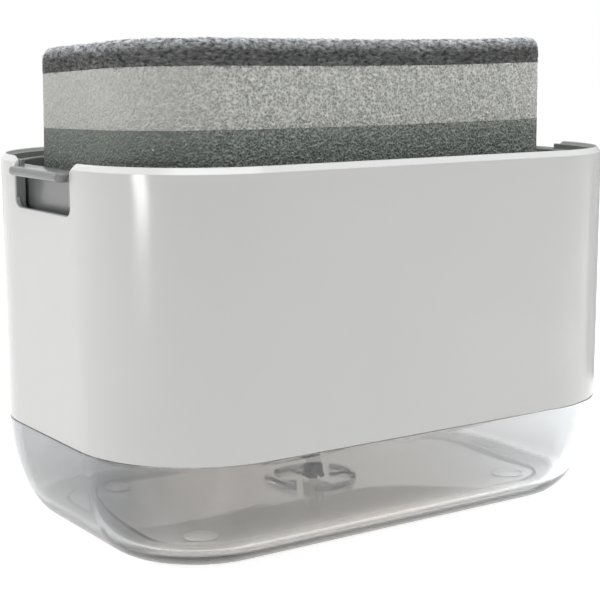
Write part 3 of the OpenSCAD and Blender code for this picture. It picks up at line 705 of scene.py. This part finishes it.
turned = np.radians(np.linspace(0, 90, CURVE_STEPS + 1))
rise = ROUND_H * (1 - np.cos(turned))
draw_in = ROUND_IN * (1 - np.sin(turned)) + DRAFT_IN * (1 - rise / WINDOW_H)
base_curve = np.stack([draw_in, BASE_Z + rise], -1)
bowl_z = FLOOR_Z + BOWL_H * (1 - np.cos(turned))
bowl_in = MOUTH_IN + BOWL_IN * (1 - np.sin(turned)) + DRAFT_IN * (1 - (bowl_z - BASE_Z) / WINDOW_H)
bowl_curve = np.stack([bowl_in, bowl_z], -1)[::-1]
seam_z = BASE_Z + WINDOW_H
ring_in = ROUND_IN + DRAFT_IN + RING_W

# From the hollow underside over the standing ring, up the curved base to the seam, in and up the spigot to
# the mouth, and down the bowl. A point is an inset and a height.
tank_profile = np.concatenate([
    [(ring_in + HOLLOW_EDGE, HOLLOW_Z), (ring_in + FOOT_IN, BASE_Z + FOOT_UP), (ring_in, BASE_Z)],
    [(ring_in - RING_W / 2, BASE_Z)],
    base_curve,
    line(base_curve[-1], (0, seam_z - LIP_R), 4)[1:],
    arc((LIP_R, seam_z - LIP_R), LIP_R, 180, 90, 4)[1:],
    [(SPIGOT_IN - SPIGOT_FOOT, seam_z), (SPIGOT_IN, seam_z + SPIGOT_FOOT)],
    line((SPIGOT_IN, seam_z + 4 * TOP_R), (SPIGOT_IN, TANK_TOP - TOP_R), 6),
    arc((SPIGOT_IN + TOP_R, TANK_TOP - TOP_R), TOP_R, 180, 90, 3)[1:],
    arc((MOUTH_IN - MOUTH_R, TANK_TOP - MOUTH_R), MOUTH_R, 90, 0, 3),
    line((MOUTH_IN, TANK_TOP - 5 * MOUTH_R), (MOUTH_IN, seam_z + MOUTH_R), 8),
    [(MOUTH_IN + MOUTH_R / 20, seam_z)],
    bowl_curve,
])
print(f"tank: {len(tank_profile)} points in its section, seam at {seam_z:.1f} mm")

# %% Tank's floor
SUMP_R = 11.0
SUMP_WALL = 1.2
SUMP_H = 1.4
SUMP_GAP = 5.0
SPOKE_START = 5.5
SPOKE_W = 1.2
SPOKE_H = 0.6
STEP = 0.12
RING_ROOM = 14.0


def sump_height(x, y):
    """Height of the ring and its spokes over the floor. The ring is high where the radius lies in its wall
    and the point is clear of both diagonal gaps; a spoke is high close to an axis."""
    radius = np.hypot(x, y)
    mid = SUMP_R - SUMP_WALL / 2
    wall = smooth(SUMP_WALL / 2 + STEP / 2 - abs(radius - mid), 0, STEP)
    for across in ((x - y), (x + y)):
        wall = wall * smooth(abs(across) / math.sqrt(2), SUMP_GAP / 2 - STEP, SUMP_GAP / 2 + STEP)
    spoke = np.zeros_like(radius)
    for aside in (x, y):
        spoke = np.maximum(spoke, smooth(SPOKE_W / 2 - abs(aside), -STEP, STEP))
    spoke = spoke * smooth(radius, SPOKE_START - STEP, SPOKE_START + STEP) * (radius < mid)
    return np.maximum(SUMP_H * wall, SPOKE_H * spoke)


tank_wall = around(tank_profile, BODY_L, BODY_W, CORNER_R)
floor_edge = tank_wall[-1]
sump_bore = SUMP_R - SUMP_WALL
# Rows of the floor from outside in: wide steps to the ring, close ones at both its walls, then the spokes.
sump_radii = np.concatenate([
    [SUMP_R + 2, SUMP_R + 1, SUMP_R + 0.4, SUMP_R + STEP, SUMP_R, SUMP_R - STEP],
    [SUMP_R - SUMP_WALL / 2, sump_bore + STEP, sump_bore, sump_bore - STEP],
    np.arange(sump_bore - 0.4, SPOKE_START - 0.7, -0.3),
    [4, 2.5, 1],
])
floor_flat = to_circle(floor_edge, RING_ROOM, np.linspace(0, 1, 9)[1:])
floor_ring = circles(floor_edge, np.column_stack([sump_radii, np.full(len(sump_radii), FLOOR_Z)]))
floor_ring[..., 2] += sump_height(floor_ring[..., 0], floor_ring[..., 1])
under_edge = tank_wall[0]
under_flat = np.concatenate([
    circles(under_edge, [(1, HOLLOW_Z), (7, HOLLOW_Z)]),
    to_circle(under_edge, RING_ROOM, [1.0, 0.75, 0.5, 0.25]),
])
tank_points = np.concatenate([under_flat, tank_wall, floor_flat, floor_ring])
tank = add_surface("clear_tank", tank_points, clear_styrene, caps=(True, True), crease=32)
dress(tank, "tank", "clear_tank", "tank")


# %% [markdown]
# ## Sponge tray
# The tray is moulded polypropylene, a softer and slightly waxy plastic, in mid grey. Its wall has a beaded
# rim, ribs on its floor hold the sponge off the liquid, and a tab at each end is what a finger presses.
# Wall, floor and the skirt under the hub are one surface that also closes through the outlet hole.

# %% Grey polypropylene
FLOW_MM = 9
FINE_MM = 0.6

# Mid grey and slightly waxy: a soft sheen along the bead, with faint flow clouds from the mould. The mould's
# own texture is finer than a pixel and is drawn coarser.
grey_pp, tree, shader, place = new_material("grey_polypropylene_moulded")
flow = add(tree, "ShaderNodeTexNoise", {"Vector": place, "Scale": per_mm(FLOW_MM), "Detail": 4.0})
tints = {"Factor": flow, "A": linear("#818282"), "B": linear("#8A8B8B")}
tint = add(tree, "ShaderNodeMix", tints, data_type="RGBA")
fine = add(tree, "ShaderNodeTexNoise", {"Vector": place, "Scale": per_mm(FINE_MM), "Detail": 2.0})
relief = add(tree, "ShaderNodeBump", {"Height": fine, "Strength": 0.15, "Distance": GRAIN_RELIEF * MM})
fill(tree, shader, {"Base Color": tint, "Roughness": 0.22, "IOR": 1.49, "Normal": relief})
print("tray material:", grey_pp.name)

# %% Tray's wall and floor
tray_low, tray_high = (np.array(corner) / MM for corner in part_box("sponge_tray"))
BEAD_Z = tray_high[2]
TRAY_H = 12.5
TRAY_Z = BEAD_Z - TRAY_H
TRAY_FLOOR = 1.6
BEAD_IN = 2.7
TRAY_IN = 3.2
TRAY_BORE_IN = 4.4
BEAD_T = 1.2
BEAD_R = 0.5
BEAD_FOOT_R = 0.2
HEEL_R = 2.5
HEEL_BORE_R = 1.5
HOLE_R = 4.3
SKIRT_R = 8.3
SKIRT_T = 1.5
floor_top = TRAY_Z + TRAY_FLOOR

tray_profile = np.concatenate([
    arc((TRAY_IN + HEEL_R, TRAY_Z + HEEL_R), HEEL_R, 270, 180, 8),
    [(TRAY_IN, BEAD_Z - BEAD_T - BEAD_FOOT_R), (TRAY_IN - BEAD_FOOT_R / 2, BEAD_Z - BEAD_T)],
    arc((BEAD_IN + BEAD_FOOT_R, BEAD_Z - BEAD_T + BEAD_FOOT_R), BEAD_FOOT_R, 270, 180, 3),
    arc((BEAD_IN + BEAD_R, BEAD_Z - BEAD_R), BEAD_R, 180, 90, 5),
    arc((TRAY_BORE_IN - BEAD_R, BEAD_Z - BEAD_R), BEAD_R, 90, 0, 5),
    [(TRAY_BORE_IN, BEAD_Z - 3), (TRAY_BORE_IN, floor_top + HEEL_BORE_R + 1)],
    arc((TRAY_BORE_IN + HEEL_BORE_R, floor_top + HEEL_BORE_R), HEEL_BORE_R, 180, 270, 8),
])
tray_wall = around(tray_profile, BODY_L, BODY_W, CORNER_R)
hub = circles(tray_wall[0], [
    (HOLE_R, TRAY_Z), (SKIRT_R, TRAY_Z), (SKIRT_R, tray_low[2]),
    (SKIRT_R + SKIRT_T, tray_low[2]), (SKIRT_R + SKIRT_T, TRAY_Z),
])
tray_points = np.concatenate([
    hub,
    to_circle(tray_wall[0], SKIRT_R + SKIRT_T, [0.66, 0.33]),
    tray_wall,
    to_circle(tray_wall[-1], HOLE_R, [0.25, 0.5, 0.75, 1.0]),
])
tray = add_surface("tray_shell", tray_points, grey_pp, wrap_rows=True, crease=32)
dress(tray, "tray", "grey_tray", "sponge_tray")


# %% [markdown]
# Tabs and ribs are the same kind of shape: a rounded plate with rounded edges. One function makes them, as a
# profile carried round a small outline and closed at both faces.

# %% Rounded plates
def plate(size, corner, edge_low, edge_high, low, high, centre, column=0.5):
    """A flat piece of that length and width between two heights: the profile goes from the lower face over a
    quarter circle to the side, and over another to the upper face."""
    profile = np.concatenate([
        arc((edge_low, low + edge_low), edge_low, 270, 180, 4),
        arc((edge_high, high - edge_high), edge_high, 180, 90, 4),
    ])
    return around(profile, size[0], size[1], corner, column, centre)


def joined(name, grids, material, crease=35):
    """Several grids of the same size, closed at both ends, as one piece."""
    pieces = [add_surface(f"{name}_{i}", grid, material, caps=(True, True), crease=crease)
              for i, grid in enumerate(grids)]
    with bpy.context.temp_override(active_object=pieces[0], selected_editable_objects=pieces):
        bpy.ops.object.join()
    pieces[0].name = name
    return pieces[0]


# %% Tabs and ribs
TAB_T = 2.1
TAB_W = 26.6
TAB_R = 1.6
TAB_EDGE = 0.75
RIB_H = 2.7
RIB_W = 1.2
RIB_PITCH = 9.0
RIB_COUNT = 5
LONG_RIB_Y = 13.95
RIB_R = 0.3
RIB_FOOT_R = 0.1
OVERLAP = 0.4
LONG_RIB_DROP = 0.02

tab_l = tray_high[0] - (BODY_L / 2 - TRAY_BORE_IN + OVERLAP / 2)
for side, word in ((-1, "left"), (1, "right")):
    middle = (side * (tray_high[0] - tab_l / 2), 0)
    points = plate((tab_l, TAB_W), TAB_R, TAB_EDGE, TAB_EDGE, BEAD_Z - TAB_T, BEAD_Z, middle, 0.3)
    tab = add_surface(f"{word}_tab", points, grey_pp, caps=(True, True))
    dress(tab, "tray", "grey_tray", "sponge_tray")


def half_width(x, inset):
    """Half width of the body at x, drawn in by the inset."""
    radius = CORNER_R - inset
    beyond = max(0.0, abs(x) - (BODY_L / 2 - CORNER_R))
    return BODY_W / 2 - CORNER_R + math.sqrt(radius**2 - beyond**2)


rib_grids = []
for i, side in itertools.product(range(1, RIB_COUNT + 1), (-1, 1)):
    x = RIB_PITCH * i + 1.5 * RIB_W
    reach = half_width(x, TRAY_BORE_IN - OVERLAP)
    heights = (floor_top - OVERLAP, floor_top + RIB_H)
    rib_grids.append(plate((RIB_W, 2 * reach), RIB_R, RIB_FOOT_R, RIB_R, *heights, (side * x, 0)))
cross_ribs = joined("cross_ribs", rib_grids, grey_pp)
dress(cross_ribs, "tray", "grey_tray", "sponge_tray")
long_l = BODY_L - 2 * (TRAY_BORE_IN - OVERLAP)
heights = (floor_top - OVERLAP, floor_top + RIB_H - LONG_RIB_DROP)
long_grids = [
    plate((long_l, RIB_W), RIB_R, RIB_FOOT_R, RIB_R, *heights, (0, side * LONG_RIB_Y)) for side in (-1, 1)
]
long_ribs = joined("long_ribs", long_grids, grey_pp)
dress(long_ribs, "tray", "grey_tray", "sponge_tray")


# %% [markdown]
# ## Sponge
# Three layers are glued together: dark and light open-cell polyurethane foam, and a scouring pad of bonded
# nylon fibres. Cut foam shows its opened cells, half a millimetre to a millimetre wide, so the sides are
# dense grids whose points are pushed in at the cells. A used sponge also settles: its back has sunk and its
# ends have risen a little. That settling grows with height, so the underside still rests on the ribs.

# %% Foam and fibre materials
FOAM_CLOUD_MM = 1.1
CELL_WEIGHT = 1.1
GLINT_MM = 2.8
GLINT_REACH = (0.06, 0.1)
CELL_RELIEF = 0.35
STREAK_MM = 1.5
STREAK_RELIEF = 0.6
STREAK_LOW, STREAK_HIGH = 0.36, 0.64
LIT_FROM_LEVEL = 0.45
FLATTENED = 2.2
# Painted light at the sponge's ends: evener tones at the left end, paler cells at the right end.
EVEN_LIT_LEFT_END = (-57, -42)
LIT_RIGHT_END = (44, 59)
RIGHT_END_LIGHT = 0.3
SPREAD = 0.3
LEAST_DEPTH, MOST_DEPTH = 0.55, 1.45


def foam_material(name, dark, light, cell, wear_and_lit_end):
    """Open-cell foam: painted shade darkens each cell towards its middle, soft clouds vary the tone, and a
    few painted glints stand for cell walls that face the light. Painted light also marks both ends: the left
    end's tones are evened out, as square-on light flattens its grain, and the right end's cells are paler."""
    made, tree, shader, place = new_material(name)
    cells = add(tree, "ShaderNodeTexVoronoi", {"Vector": place, "Scale": per_mm(cell)})
    clouds = add(tree, "ShaderNodeTexNoise", {"Vector": place, "Scale": per_mm(FOAM_CLOUD_MM), "Detail": 4.0})
    # Painted shade: the tone falls towards each cell's middle, where its hollow would be in shade.
    depth = add(tree, "ShaderNodeMath", {0: cells, 1: CELL_WEIGHT, 2: clouds}, operation="MULTIPLY_ADD")
    along = add(tree, "ShaderNodeSeparateXYZ", {0: place}).outputs["X"]
    # Painted light at both ends: the tone range narrows at the left end, and its low end rises at the right.
    (end, inner), (right, right_end) = EVEN_LIT_LEFT_END, LIT_RIGHT_END
    low = tone_along(tree, along, [(end, wear_and_lit_end), (inner, 0.0), (right, 0.0), (right_end, RIGHT_END_LIGHT)])
    high = tone_along(tree, along, [(end, wear_and_lit_end + SPREAD), (inner, 1.0), (right_end, 1.0)])
    tone = add(tree, "ShaderNodeMapRange", {"Value": depth, **span(LEAST_DEPTH, MOST_DEPTH, low, high)})
    tints = {"Factor": tone, "A": linear(dark), "B": linear(light)}
    tint = add(tree, "ShaderNodeMix", tints, data_type="RGBA")
    # Painted glints: a few small spots are mixed towards near white, as cell walls facing the light.
    sparse = add(tree, "ShaderNodeTexVoronoi", {"Vector": place, "Scale": per_mm(GLINT_MM)})
    spark = add(tree, "ShaderNodeMapRange", {"Value": sparse, **span(*GLINT_REACH, 0.8, 0)})
    tints = {"Factor": spark, "A": tint, "B": linear("#FBFCFA")}
    glint = add(tree, "ShaderNodeMix", tints, data_type="RGBA")
    relief = add(tree, "ShaderNodeBump", {"Height": cells, "Strength": 1.0, "Distance": CELL_RELIEF * MM})
    dull = {"Roughness": 0.95, "Specular IOR Level": 0.15}
    fill(tree, shader, {"Base Color": glint, **dull, "Normal": relief})
    return made


def nylon_material(name, low, high, dim, bright):
    """Nylon strands: paler towards the top and darker towards the glue, a painted light from above and
    painted shade lower down, with streaks of tone that are longer than they are high. The height in the layer
    is an attribute of the piece."""
    made, tree, shader, place = new_material(name)
    level = add(tree, "ShaderNodeAttribute", attribute_name="level").outputs["Fac"]
    # Painted light and shade: from the darker colour at the glue to the paler one at the top.
    fading = {"Value": level, **span(LIT_FROM_LEVEL, 1.0)}
    top_light_share = add(tree, "ShaderNodeMapRange", fading, interpolation_type="SMOOTHSTEP")
    tints = {"Factor": top_light_share, "A": linear(low), "B": linear(high)}
    body = add(tree, "ShaderNodeMix", tints, data_type="RGBA")
    flat = add(tree, "ShaderNodeMapping", {"Vector": place, "Scale": (1, 1, FLATTENED)})
    strands = {"Vector": flat, "Scale": per_mm(STREAK_MM), "Detail": 5.0, "Roughness": 0.7}
    streaks = add(tree, "ShaderNodeTexNoise", strands)
    # Painted shade in the streaks: their dim end darkens the gaps between strands.
    stretched = span(STREAK_LOW, STREAK_HIGH, dim, bright)
    gain = add(tree, "ShaderNodeMapRange", {"Value": streaks, **stretched})
    shade = add(tree, "ShaderNodeVectorMath", {0: body, "Scale": gain}, operation="SCALE")
    relief = add(tree, "ShaderNodeBump", {"Height": streaks, "Strength": 0.6, "Distance": STREAK_RELIEF * MM})
    dull = {"Roughness": 0.7, "Specular IOR Level": 0.25}
    fill(tree, shader, {"Base Color": shade, **dull, "Normal": relief})
    return made


# Charcoal foam: matt and grainy, painted shade in its open cells. Pale foam: the same grain in a warm
# off-white.
dark_pu = foam_material("charcoal_polyurethane_open_cell_foam", "#656A65", "#BFC5BE", 0.56, 0.26)
light_pu = foam_material("pale_polyurethane_open_cell_foam", "#A3A59E", "#FCFCF8", 0.58, 0.38)
# Bonded web: grey strands and dark gaps, drawn as streaks, since the real strands are too fine to show; the
# dark of the gaps is painted shade, and the top is paler from painted light. Loose fibres: paler, so they
# stand out at the pad's edge.
nylon_web = nylon_material("grey_nylon_scouring_web", "#989997", "#C2C5C8", 0.2, 1.8)
nylon_thread = nylon_material("pale_nylon_scouring_fibres", "#8E8F8E", "#E6E9EC", 0.3, 1.65)
print("sponge materials:", dark_pu.name, light_pu.name, nylon_web.name, nylon_thread.name)

# %% Sponge shapes
base_low, base_high = (np.array(corner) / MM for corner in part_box("foam_base"))
SPONGE_L, SPONGE_W = (base_high - base_low)[:2]
SPONGE_X = (base_high[0] + base_low[0]) / 2
SPONGE_R = 21.4
GLUE = 0.02
DARK_T = 16.85
LIGHT_T = 13.5
PAD_T = 6.0
SPONGE_FOOT = base_low[2]
pad_z = SPONGE_FOOT + DARK_T + LIGHT_T + GLUE
SIDE_MM = 0.26
CELL_MM = 0.62
CELL_RIM = (0.15, 0.6)
LUMP_MM = 3.5
LUMP_DEPTH = 0.05
BACK_SAG = 3.0
LEFT_RISE = 0.6
RIGHT_RISE = 1.0
TOP_IN = 0.5
FACE_ROWS = 4
print(f"sponge {SPONGE_L:.0f} by {SPONGE_W:.0f} mm, scouring pad from {pad_z:.1f} mm up")


def settle(points):
    """Moves points in proportion to their height in the foam: the back sinks, the ends rise a little and draw
    in. The scouring pad on top follows the foam's upper face."""
    share = np.clip((points[..., 2] - SPONGE_FOOT) / (pad_z - SPONGE_FOOT), 0, 1)
    x = (points[..., 0] - SPONGE_X) / (SPONGE_L / 2)
    y = points[..., 1] / (SPONGE_W / 2)
    rise = np.where(x < 0, LEFT_RISE, RIGHT_RISE) * x**2
    moved = points.copy()
    moved[..., 0] -= TOP_IN * share * x
    moved[..., 2] += share * (rise - BACK_SAG * (1 + y) / 2)
    return moved


def foam_block(z0, z1, edge_low, edge_high, seed, depth, top_rows, inset=0.0):
    """Grid of a foam layer: faces from the middle out, quarter-circle edges, and dense side rows, with the
    opened cells pushed in along the outward direction."""
    side_steps = math.ceil((z1 - z0 - edge_low - edge_high) / SIDE_MM)
    profile = np.concatenate([
        arc((edge_low, z0 + edge_low), edge_low, 270, 180, 4),
        line((0, z0 + edge_low), (0, z1 - edge_high), side_steps)[1:-1],
        arc((edge_high, z1 - edge_high), edge_high, 180, 90, 6),
    ]) + (inset, 0)
    side = around(profile, SPONGE_L, SPONGE_W, SPONGE_R, SIDE_MM, (SPONGE_X, 0))
    middle = np.array([SPONGE_X, 0, 0])

    def face(edge, shares):
        """Rows between the face's middle and its edge: the edge's outline made smaller."""
        flat = (edge - middle) * np.reshape(shares, (-1, 1, 1)) + middle
        flat[..., 2] = edge[0, 2]
        return flat

    rows = [face(side[0], np.linspace(0.1, 0.95, FACE_ROWS)), side, face(side[-1], top_rows)]
    points = np.concatenate(rows)
    outward = np.gradient(points, axis=1)
    outward = np.stack([outward[..., 1], -outward[..., 0], np.zeros(points.shape[:2])], -1)
    outward /= np.linalg.norm(outward, axis=-1, keepdims=True) + 1e-9
    flat = points.reshape(-1, 3)
    cells = cell_noise(flat, CELL_MM, seed).reshape(points.shape[:2])
    lumps = soft_noise(flat, LUMP_MM, seed + 1).reshape(points.shape[:2])
    push = depth * (smooth(cells, *CELL_RIM) - 1) + LUMP_DEPTH * lumps
    on_side = np.zeros(len(points))
    on_side[FACE_ROWS : FACE_ROWS + len(side)] = 1
    points = points + outward * (push * on_side[:, None])[..., None]
    return points, cells, lumps


# %% Foam layers
CUT_DEPTH = 0.28
FOOT_R = 1.5
GLUED_R = 0.08
base_top, core_top = SPONGE_FOOT + DARK_T, SPONGE_FOOT + DARK_T + LIGHT_T
dark_layer = ((SPONGE_FOOT, base_top), (FOOT_R, GLUED_R), 11.0, dark_pu, "dark_foam", "foam_base")
light_layer = ((base_top + GLUE, core_top), (GLUED_R, GLUED_R), 23.0, light_pu, "light_foam", "foam_core")
for heights, edges, seed, material, slot, node in (dark_layer, light_layer):
    points, _, _ = foam_block(*heights, *edges, seed, CUT_DEPTH, np.linspace(0.95, 0.1, FACE_ROWS))
    layer = add_surface(f"{slot}_layer", settle(points), material, caps=(True, True), crease=180)
    dress(layer, "sponge", slot, node)


# %% Scouring pad
def set_level(piece, values):
    """Keeps each point's height in the scouring layer, from 0 at the glue to 1 on top, for its material."""
    attribute = piece.data.attributes.new("level", "FLOAT", "POINT")
    attribute.data.foreach_set("value", np.asarray(values, np.float32))


PAD_ROUND = 2.4
PAD_FOOT_R = 0.3
PAD_IN = 0.3
PAD_CUT = 0.3
PAD_TOP_ROWS = 70
PIT_DEPTH = 0.35
PIT_RIM = (0.1, 0.6)
DENT_DEPTH = 0.25
pad_top_z = pad_z + PAD_T
points, cells, lumps = foam_block(
    pad_z, pad_top_z, PAD_FOOT_R, PAD_ROUND, 37.0, PAD_CUT, np.linspace(0.985, 0.02, PAD_TOP_ROWS), PAD_IN
)
pad_top = smooth(points[..., 2], pad_top_z - PAD_ROUND, pad_top_z)
points[..., 2] -= pad_top * (PIT_DEPTH * (1 - smooth(cells, *PIT_RIM)) + DENT_DEPTH * abs(lumps))
level = np.clip((points[..., 2] - pad_z) / PAD_T, 0, 1)
pad = add_surface("scouring_layer", settle(points), nylon_web, caps=(True, True), crease=180)
set_level(pad, np.append(level.ravel(), [0, 1]))
dress(pad, "sponge", "scouring_fibre", "scouring_pad")


# %% [markdown]
# The pad's fibres are what makes it look rough: thin bent nylon threads that lie on its top and stick out
# over its rounded edge, where the light catches them. Each is a short three-sided tube along an arc. A real
# thread is about a tenth of a millimetre thick, too fine to show, so these are nearly twice as thick.

# %% Loose fibres
FIBRES_SIDE = 4600
FIBRES_EDGE = 2800
FIBRES_TOP = 2200
FIBRE_R = 0.085
FIBRE_RINGS = 4
FIBRE_HALF = (0.7, 1.8)
FIBRE_LIFT = (0.05, 0.4)
FIBRE_BEND = 0.6
THINNED = 0.65
LEVEL_BIAS = 2.0
SUNK = 0.35
shoulder_z = pad_top_z - PAD_ROUND - SUNK


def rim_roots(random, count, tips, z_span):
    """Places and normals round the pad: a tip angle of 0 faces outwards and 90 degrees upwards. Roots that
    face outwards lie anywhere in the span of heights."""
    s = random.uniform(0, perimeter(SPONGE_L, SPONGE_W, SPONGE_R), count)
    tip = np.radians(random.uniform(*tips, count))
    middle, outward = carried_circle(s, SPONGE_L, SPONGE_W, SPONGE_R)
    flat = middle + (SPONGE_R - PAD_IN - PAD_ROUND * (1 - np.cos(tip)))[:, None] * outward
    z = random.uniform(*z_span, count) + PAD_ROUND * np.sin(tip)
    return np.column_stack([flat, z]), np.column_stack([outward * np.cos(tip)[:, None], np.sin(tip)])


def top_roots(random, count):
    """Places and normals on the pad's flat top: random points, without those beyond the rounded corners."""
    half = np.array([SPONGE_L, SPONGE_W]) / 2 - PAD_ROUND
    face = random.uniform(-1, 1, (count, 2)) * half
    over = np.maximum(abs(face) - (half - SPONGE_R + PAD_ROUND), 0)
    face = face[np.hypot(*over.T) < SPONGE_R - PAD_ROUND]
    top = np.column_stack([face, np.full(len(face), pad_top_z - SUNK)])
    return top, np.tile([0.0, 0.0, 1.0], (len(face), 1))


def fibre_grid(random):
    """Tubes on arcs: a fibre runs along the surface, bulges out of it by its lift and bends aside, and its
    thickness falls to a third at both ends. On the sides most lie level. Gives fibres by rings by sides by
    XYZ."""
    groups = (
        rim_roots(random, FIBRES_SIDE, (0, 0), (pad_z + 0.1, shoulder_z)),
        rim_roots(random, FIBRES_EDGE, (5, 90), (shoulder_z, shoulder_z)),
        top_roots(random, FIBRES_TOP),
    )
    root, normal = (np.concatenate(part) for part in zip(*groups))
    root = root + (SPONGE_X, 0, 0)
    count = len(root)
    loose = random.normal(size=(count, 3)) + (0, 0, LEVEL_BIAS)
    run = unit_length(np.cross(normal, loose))
    aside = np.cross(normal, run)
    t = np.linspace(-1, 1, FIBRE_RINGS)[None, :, None]
    length = random.uniform(*FIBRE_HALF, (count, 1, 1))
    lift = random.uniform(*FIBRE_LIFT, (count, 1, 1))
    bend = random.uniform(-FIBRE_BEND, FIBRE_BEND, (count, 1, 1))
    way = root[:, None] + run[:, None] * t * length
    way = way + (1 - t**2) * (normal[:, None] * lift + aside[:, None] * bend)
    turn = np.radians([90, 210, 330])[None, None, :, None]
    ring = normal[:, None, None] * np.sin(turn) + aside[:, None, None] * np.cos(turn)
    thick = FIBRE_R * random.uniform(0.7, 1.3, (count, 1, 1, 1)) * (1 - THINNED * t[..., None] ** 2)
    return way[:, :, None] + ring * thick


tubes = fibre_grid(np.random.default_rng(7))
count, rings, sides = tubes.shape[:3]
index = np.arange(count * rings * sides).reshape(count, rings, sides)
near, far = index[:, :-1], index[:, 1:]
quads = np.stack([near, np.roll(near, -1, 2), np.roll(far, -1, 2), far], -1).reshape(-1, 4)
ends = np.concatenate([index[:, 0, ::-1], index[:, -1]])
faces = quads.tolist() + ends.tolist()
fibres = add_mesh("scouring_fibres", settle(tubes.reshape(-1, 3)), faces, nylon_thread)
set_level(fibres, np.clip((tubes[..., 2].ravel() - pad_z) / PAD_T, 0, 1))
dress(fibres, "sponge", "scouring_fibre", "scouring_pad")
print("fibres:", count, "faces:", len(faces))


# %% [markdown]
# ## Pieces that keep their CAD shape
# The frame and the pump's parts have the right shape already, so they only get their plastics. Each is
# named for the real one. Natural polypropylene lets some light through, acetal and ABS don't.

# %% Plastics, rubber and steel
MOULD_CLOUD_MM = 8
MOULD_FINE_MM = 0.5


def moulded(name, dark, light, rough, ior=1.49, through=0.0):
    """A moulded plastic: soft clouds of tone about a centimetre wide, and a faint texture, drawn coarser than
    the real one, which wouldn't show."""
    made, tree, shader, place = new_material(name)
    cloudy = {"Vector": place, "Scale": per_mm(MOULD_CLOUD_MM), "Detail": 3.0}
    clouds = add(tree, "ShaderNodeTexNoise", cloudy)
    tints = {"Factor": clouds, "A": linear(dark), "B": linear(light)}
    tint = add(tree, "ShaderNodeMix", tints, data_type="RGBA")
    fine = add(tree, "ShaderNodeTexNoise", {"Vector": place, "Scale": per_mm(MOULD_FINE_MM), "Detail": 2.0})
    relief = add(tree, "ShaderNodeBump", {"Height": fine, "Strength": 0.12, "Distance": GRAIN_RELIEF * MM})
    plain = {"Roughness": rough, "IOR": ior, "Transmission Weight": through}
    fill(tree, shader, {"Base Color": tint, **plain, "Normal": relief})
    return made


def steel(name, colour, rough, scratch):
    """Steel: metallic, with fine scratches or polish marks that vary its roughness."""
    made, tree, shader, place = new_material(name)
    marks = {"Vector": place, "Scale": per_mm(scratch), "Detail": 4.0}
    wear_and_lit_end = {"Value": add(tree, "ShaderNodeTexNoise", marks), "To Min": rough * 0.7, "To Max": rough * 1.4}
    spread = add(tree, "ShaderNodeMapRange", wear_and_lit_end)
    fill(tree, shader, {"Base Color": linear(colour), "Metallic": 1.0, "Roughness": spread})
    return made


WHITE_PP = ("#DDDDDB", "#E7E7E5", 0.4)
WHITE_ACETAL = ("#E0E0DE", "#EAEAE8", 0.3, 1.48)
finishes = {
    # Grey, a little paler and duller than the tray in front of it.
    "inner_frame": moulded("grey_ABS_moulded", "#939593", "#9D9F9D", 0.4, 1.54),
    # Milky rubbers: the feet and the valve let light through, the seal doesn't.
    "tank_feet": moulded("clear_silicone_pad", "#E6E7E9", "#EFF0F1", 0.3, 1.41, 0.9),
    "tank_seal": moulded("white_silicone_seal", "#DCDDDC", "#E6E7E6", 0.5, 1.41),
    "outlet_valve": moulded("clear_silicone_valve", "#D4D8DC", "#E2E5E8", 0.4, 1.41, 0.4),
    # Plain white pump parts with a soft sheen.
    "pump_closure": moulded("white_polypropylene_cap", *WHITE_PP),
    "housing_cap": moulded("white_polypropylene_guide", *WHITE_PP),
    "stem_head": moulded("white_polypropylene_head", *WHITE_PP),
    "pump_stem": moulded("white_acetal_stem", *WHITE_ACETAL),
    "piston_rod": moulded("white_acetal_rod", *WHITE_ACETAL),
    # Natural plastics: cloudy grey-white, and the foamed gasket quite matt.
    "pump_housing": moulded("natural_polypropylene_barrel", "#CDCFCB", "#DADCD8", 0.35, 1.49, 0.35),
    "pump_piston": moulded("soft_polyethylene_piston", "#C8CACB", "#D6D8D9", 0.45, 1.51),
    "closure_gasket": moulded("polyethylene_foam_gasket", "#E2E2DF", "#EEEEEB", 0.8, 1.3),
    # A thin tube of which only a pale line shows, so it bends light less than the real one, and a dark foot.
    "dip_tube": moulded("clear_polyethylene_tube", "#F1F2F3", "#F8F9F9", 0.12, 1.12, 0.97),
    "tube_strainer": moulded("dark_acetal_strainer", "#4E4B56", "#5B5863", 0.4, 1.48),
    # Bright ball and duller drawn wire.
    "inlet_ball": steel("polished_stainless_ball", "#C6C6C8", 0.12, 1.5),
    "return_spring": steel("drawn_stainless_wire", "#B9B9BB", 0.28, 0.4),
}
for name, material in finishes.items():
    node = frame["nodes"][name]
    node.data.materials.clear()
    node.data.materials.append(material)
print("dressed CAD nodes:", len(finishes))


# %% [markdown]
# ## Return spring
# The CAD spring is a six-sided wire with coarse steps. A helix is a circle carried along a rising circle,
# so it is easy to work out finely here.

# %% Spring
spring_low, spring_high = (np.array(corner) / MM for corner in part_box("return_spring"))
WIRE_R = 0.45
TURNS = 7
TURN_STEPS = 48
WIRE_SIDES = 12
coil_r = spring_high[0] - WIRE_R
along = np.linspace(0, 1, TURNS * TURN_STEPS + 1)[:, None]
round_wire = np.linspace(0, 2 * np.pi, WIRE_SIDES, endpoint=False)[None, :]
reach = coil_r + WIRE_R * np.cos(round_wire)
turned_by = 2 * np.pi * TURNS * along
z = spring_low[2] + WIRE_R + along * (spring_high[2] - spring_low[2] - 2 * WIRE_R)
spring_points = np.stack(
    [reach * np.cos(turned_by), reach * np.sin(turned_by), z + WIRE_R * np.sin(round_wire)], axis=-1
)[:, ::-1]
spring = add_surface("spring_helix", spring_points, finishes["return_spring"], caps=(True, True))
dress(spring, "housing", "spring_steel", "return_spring")
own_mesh(spring)
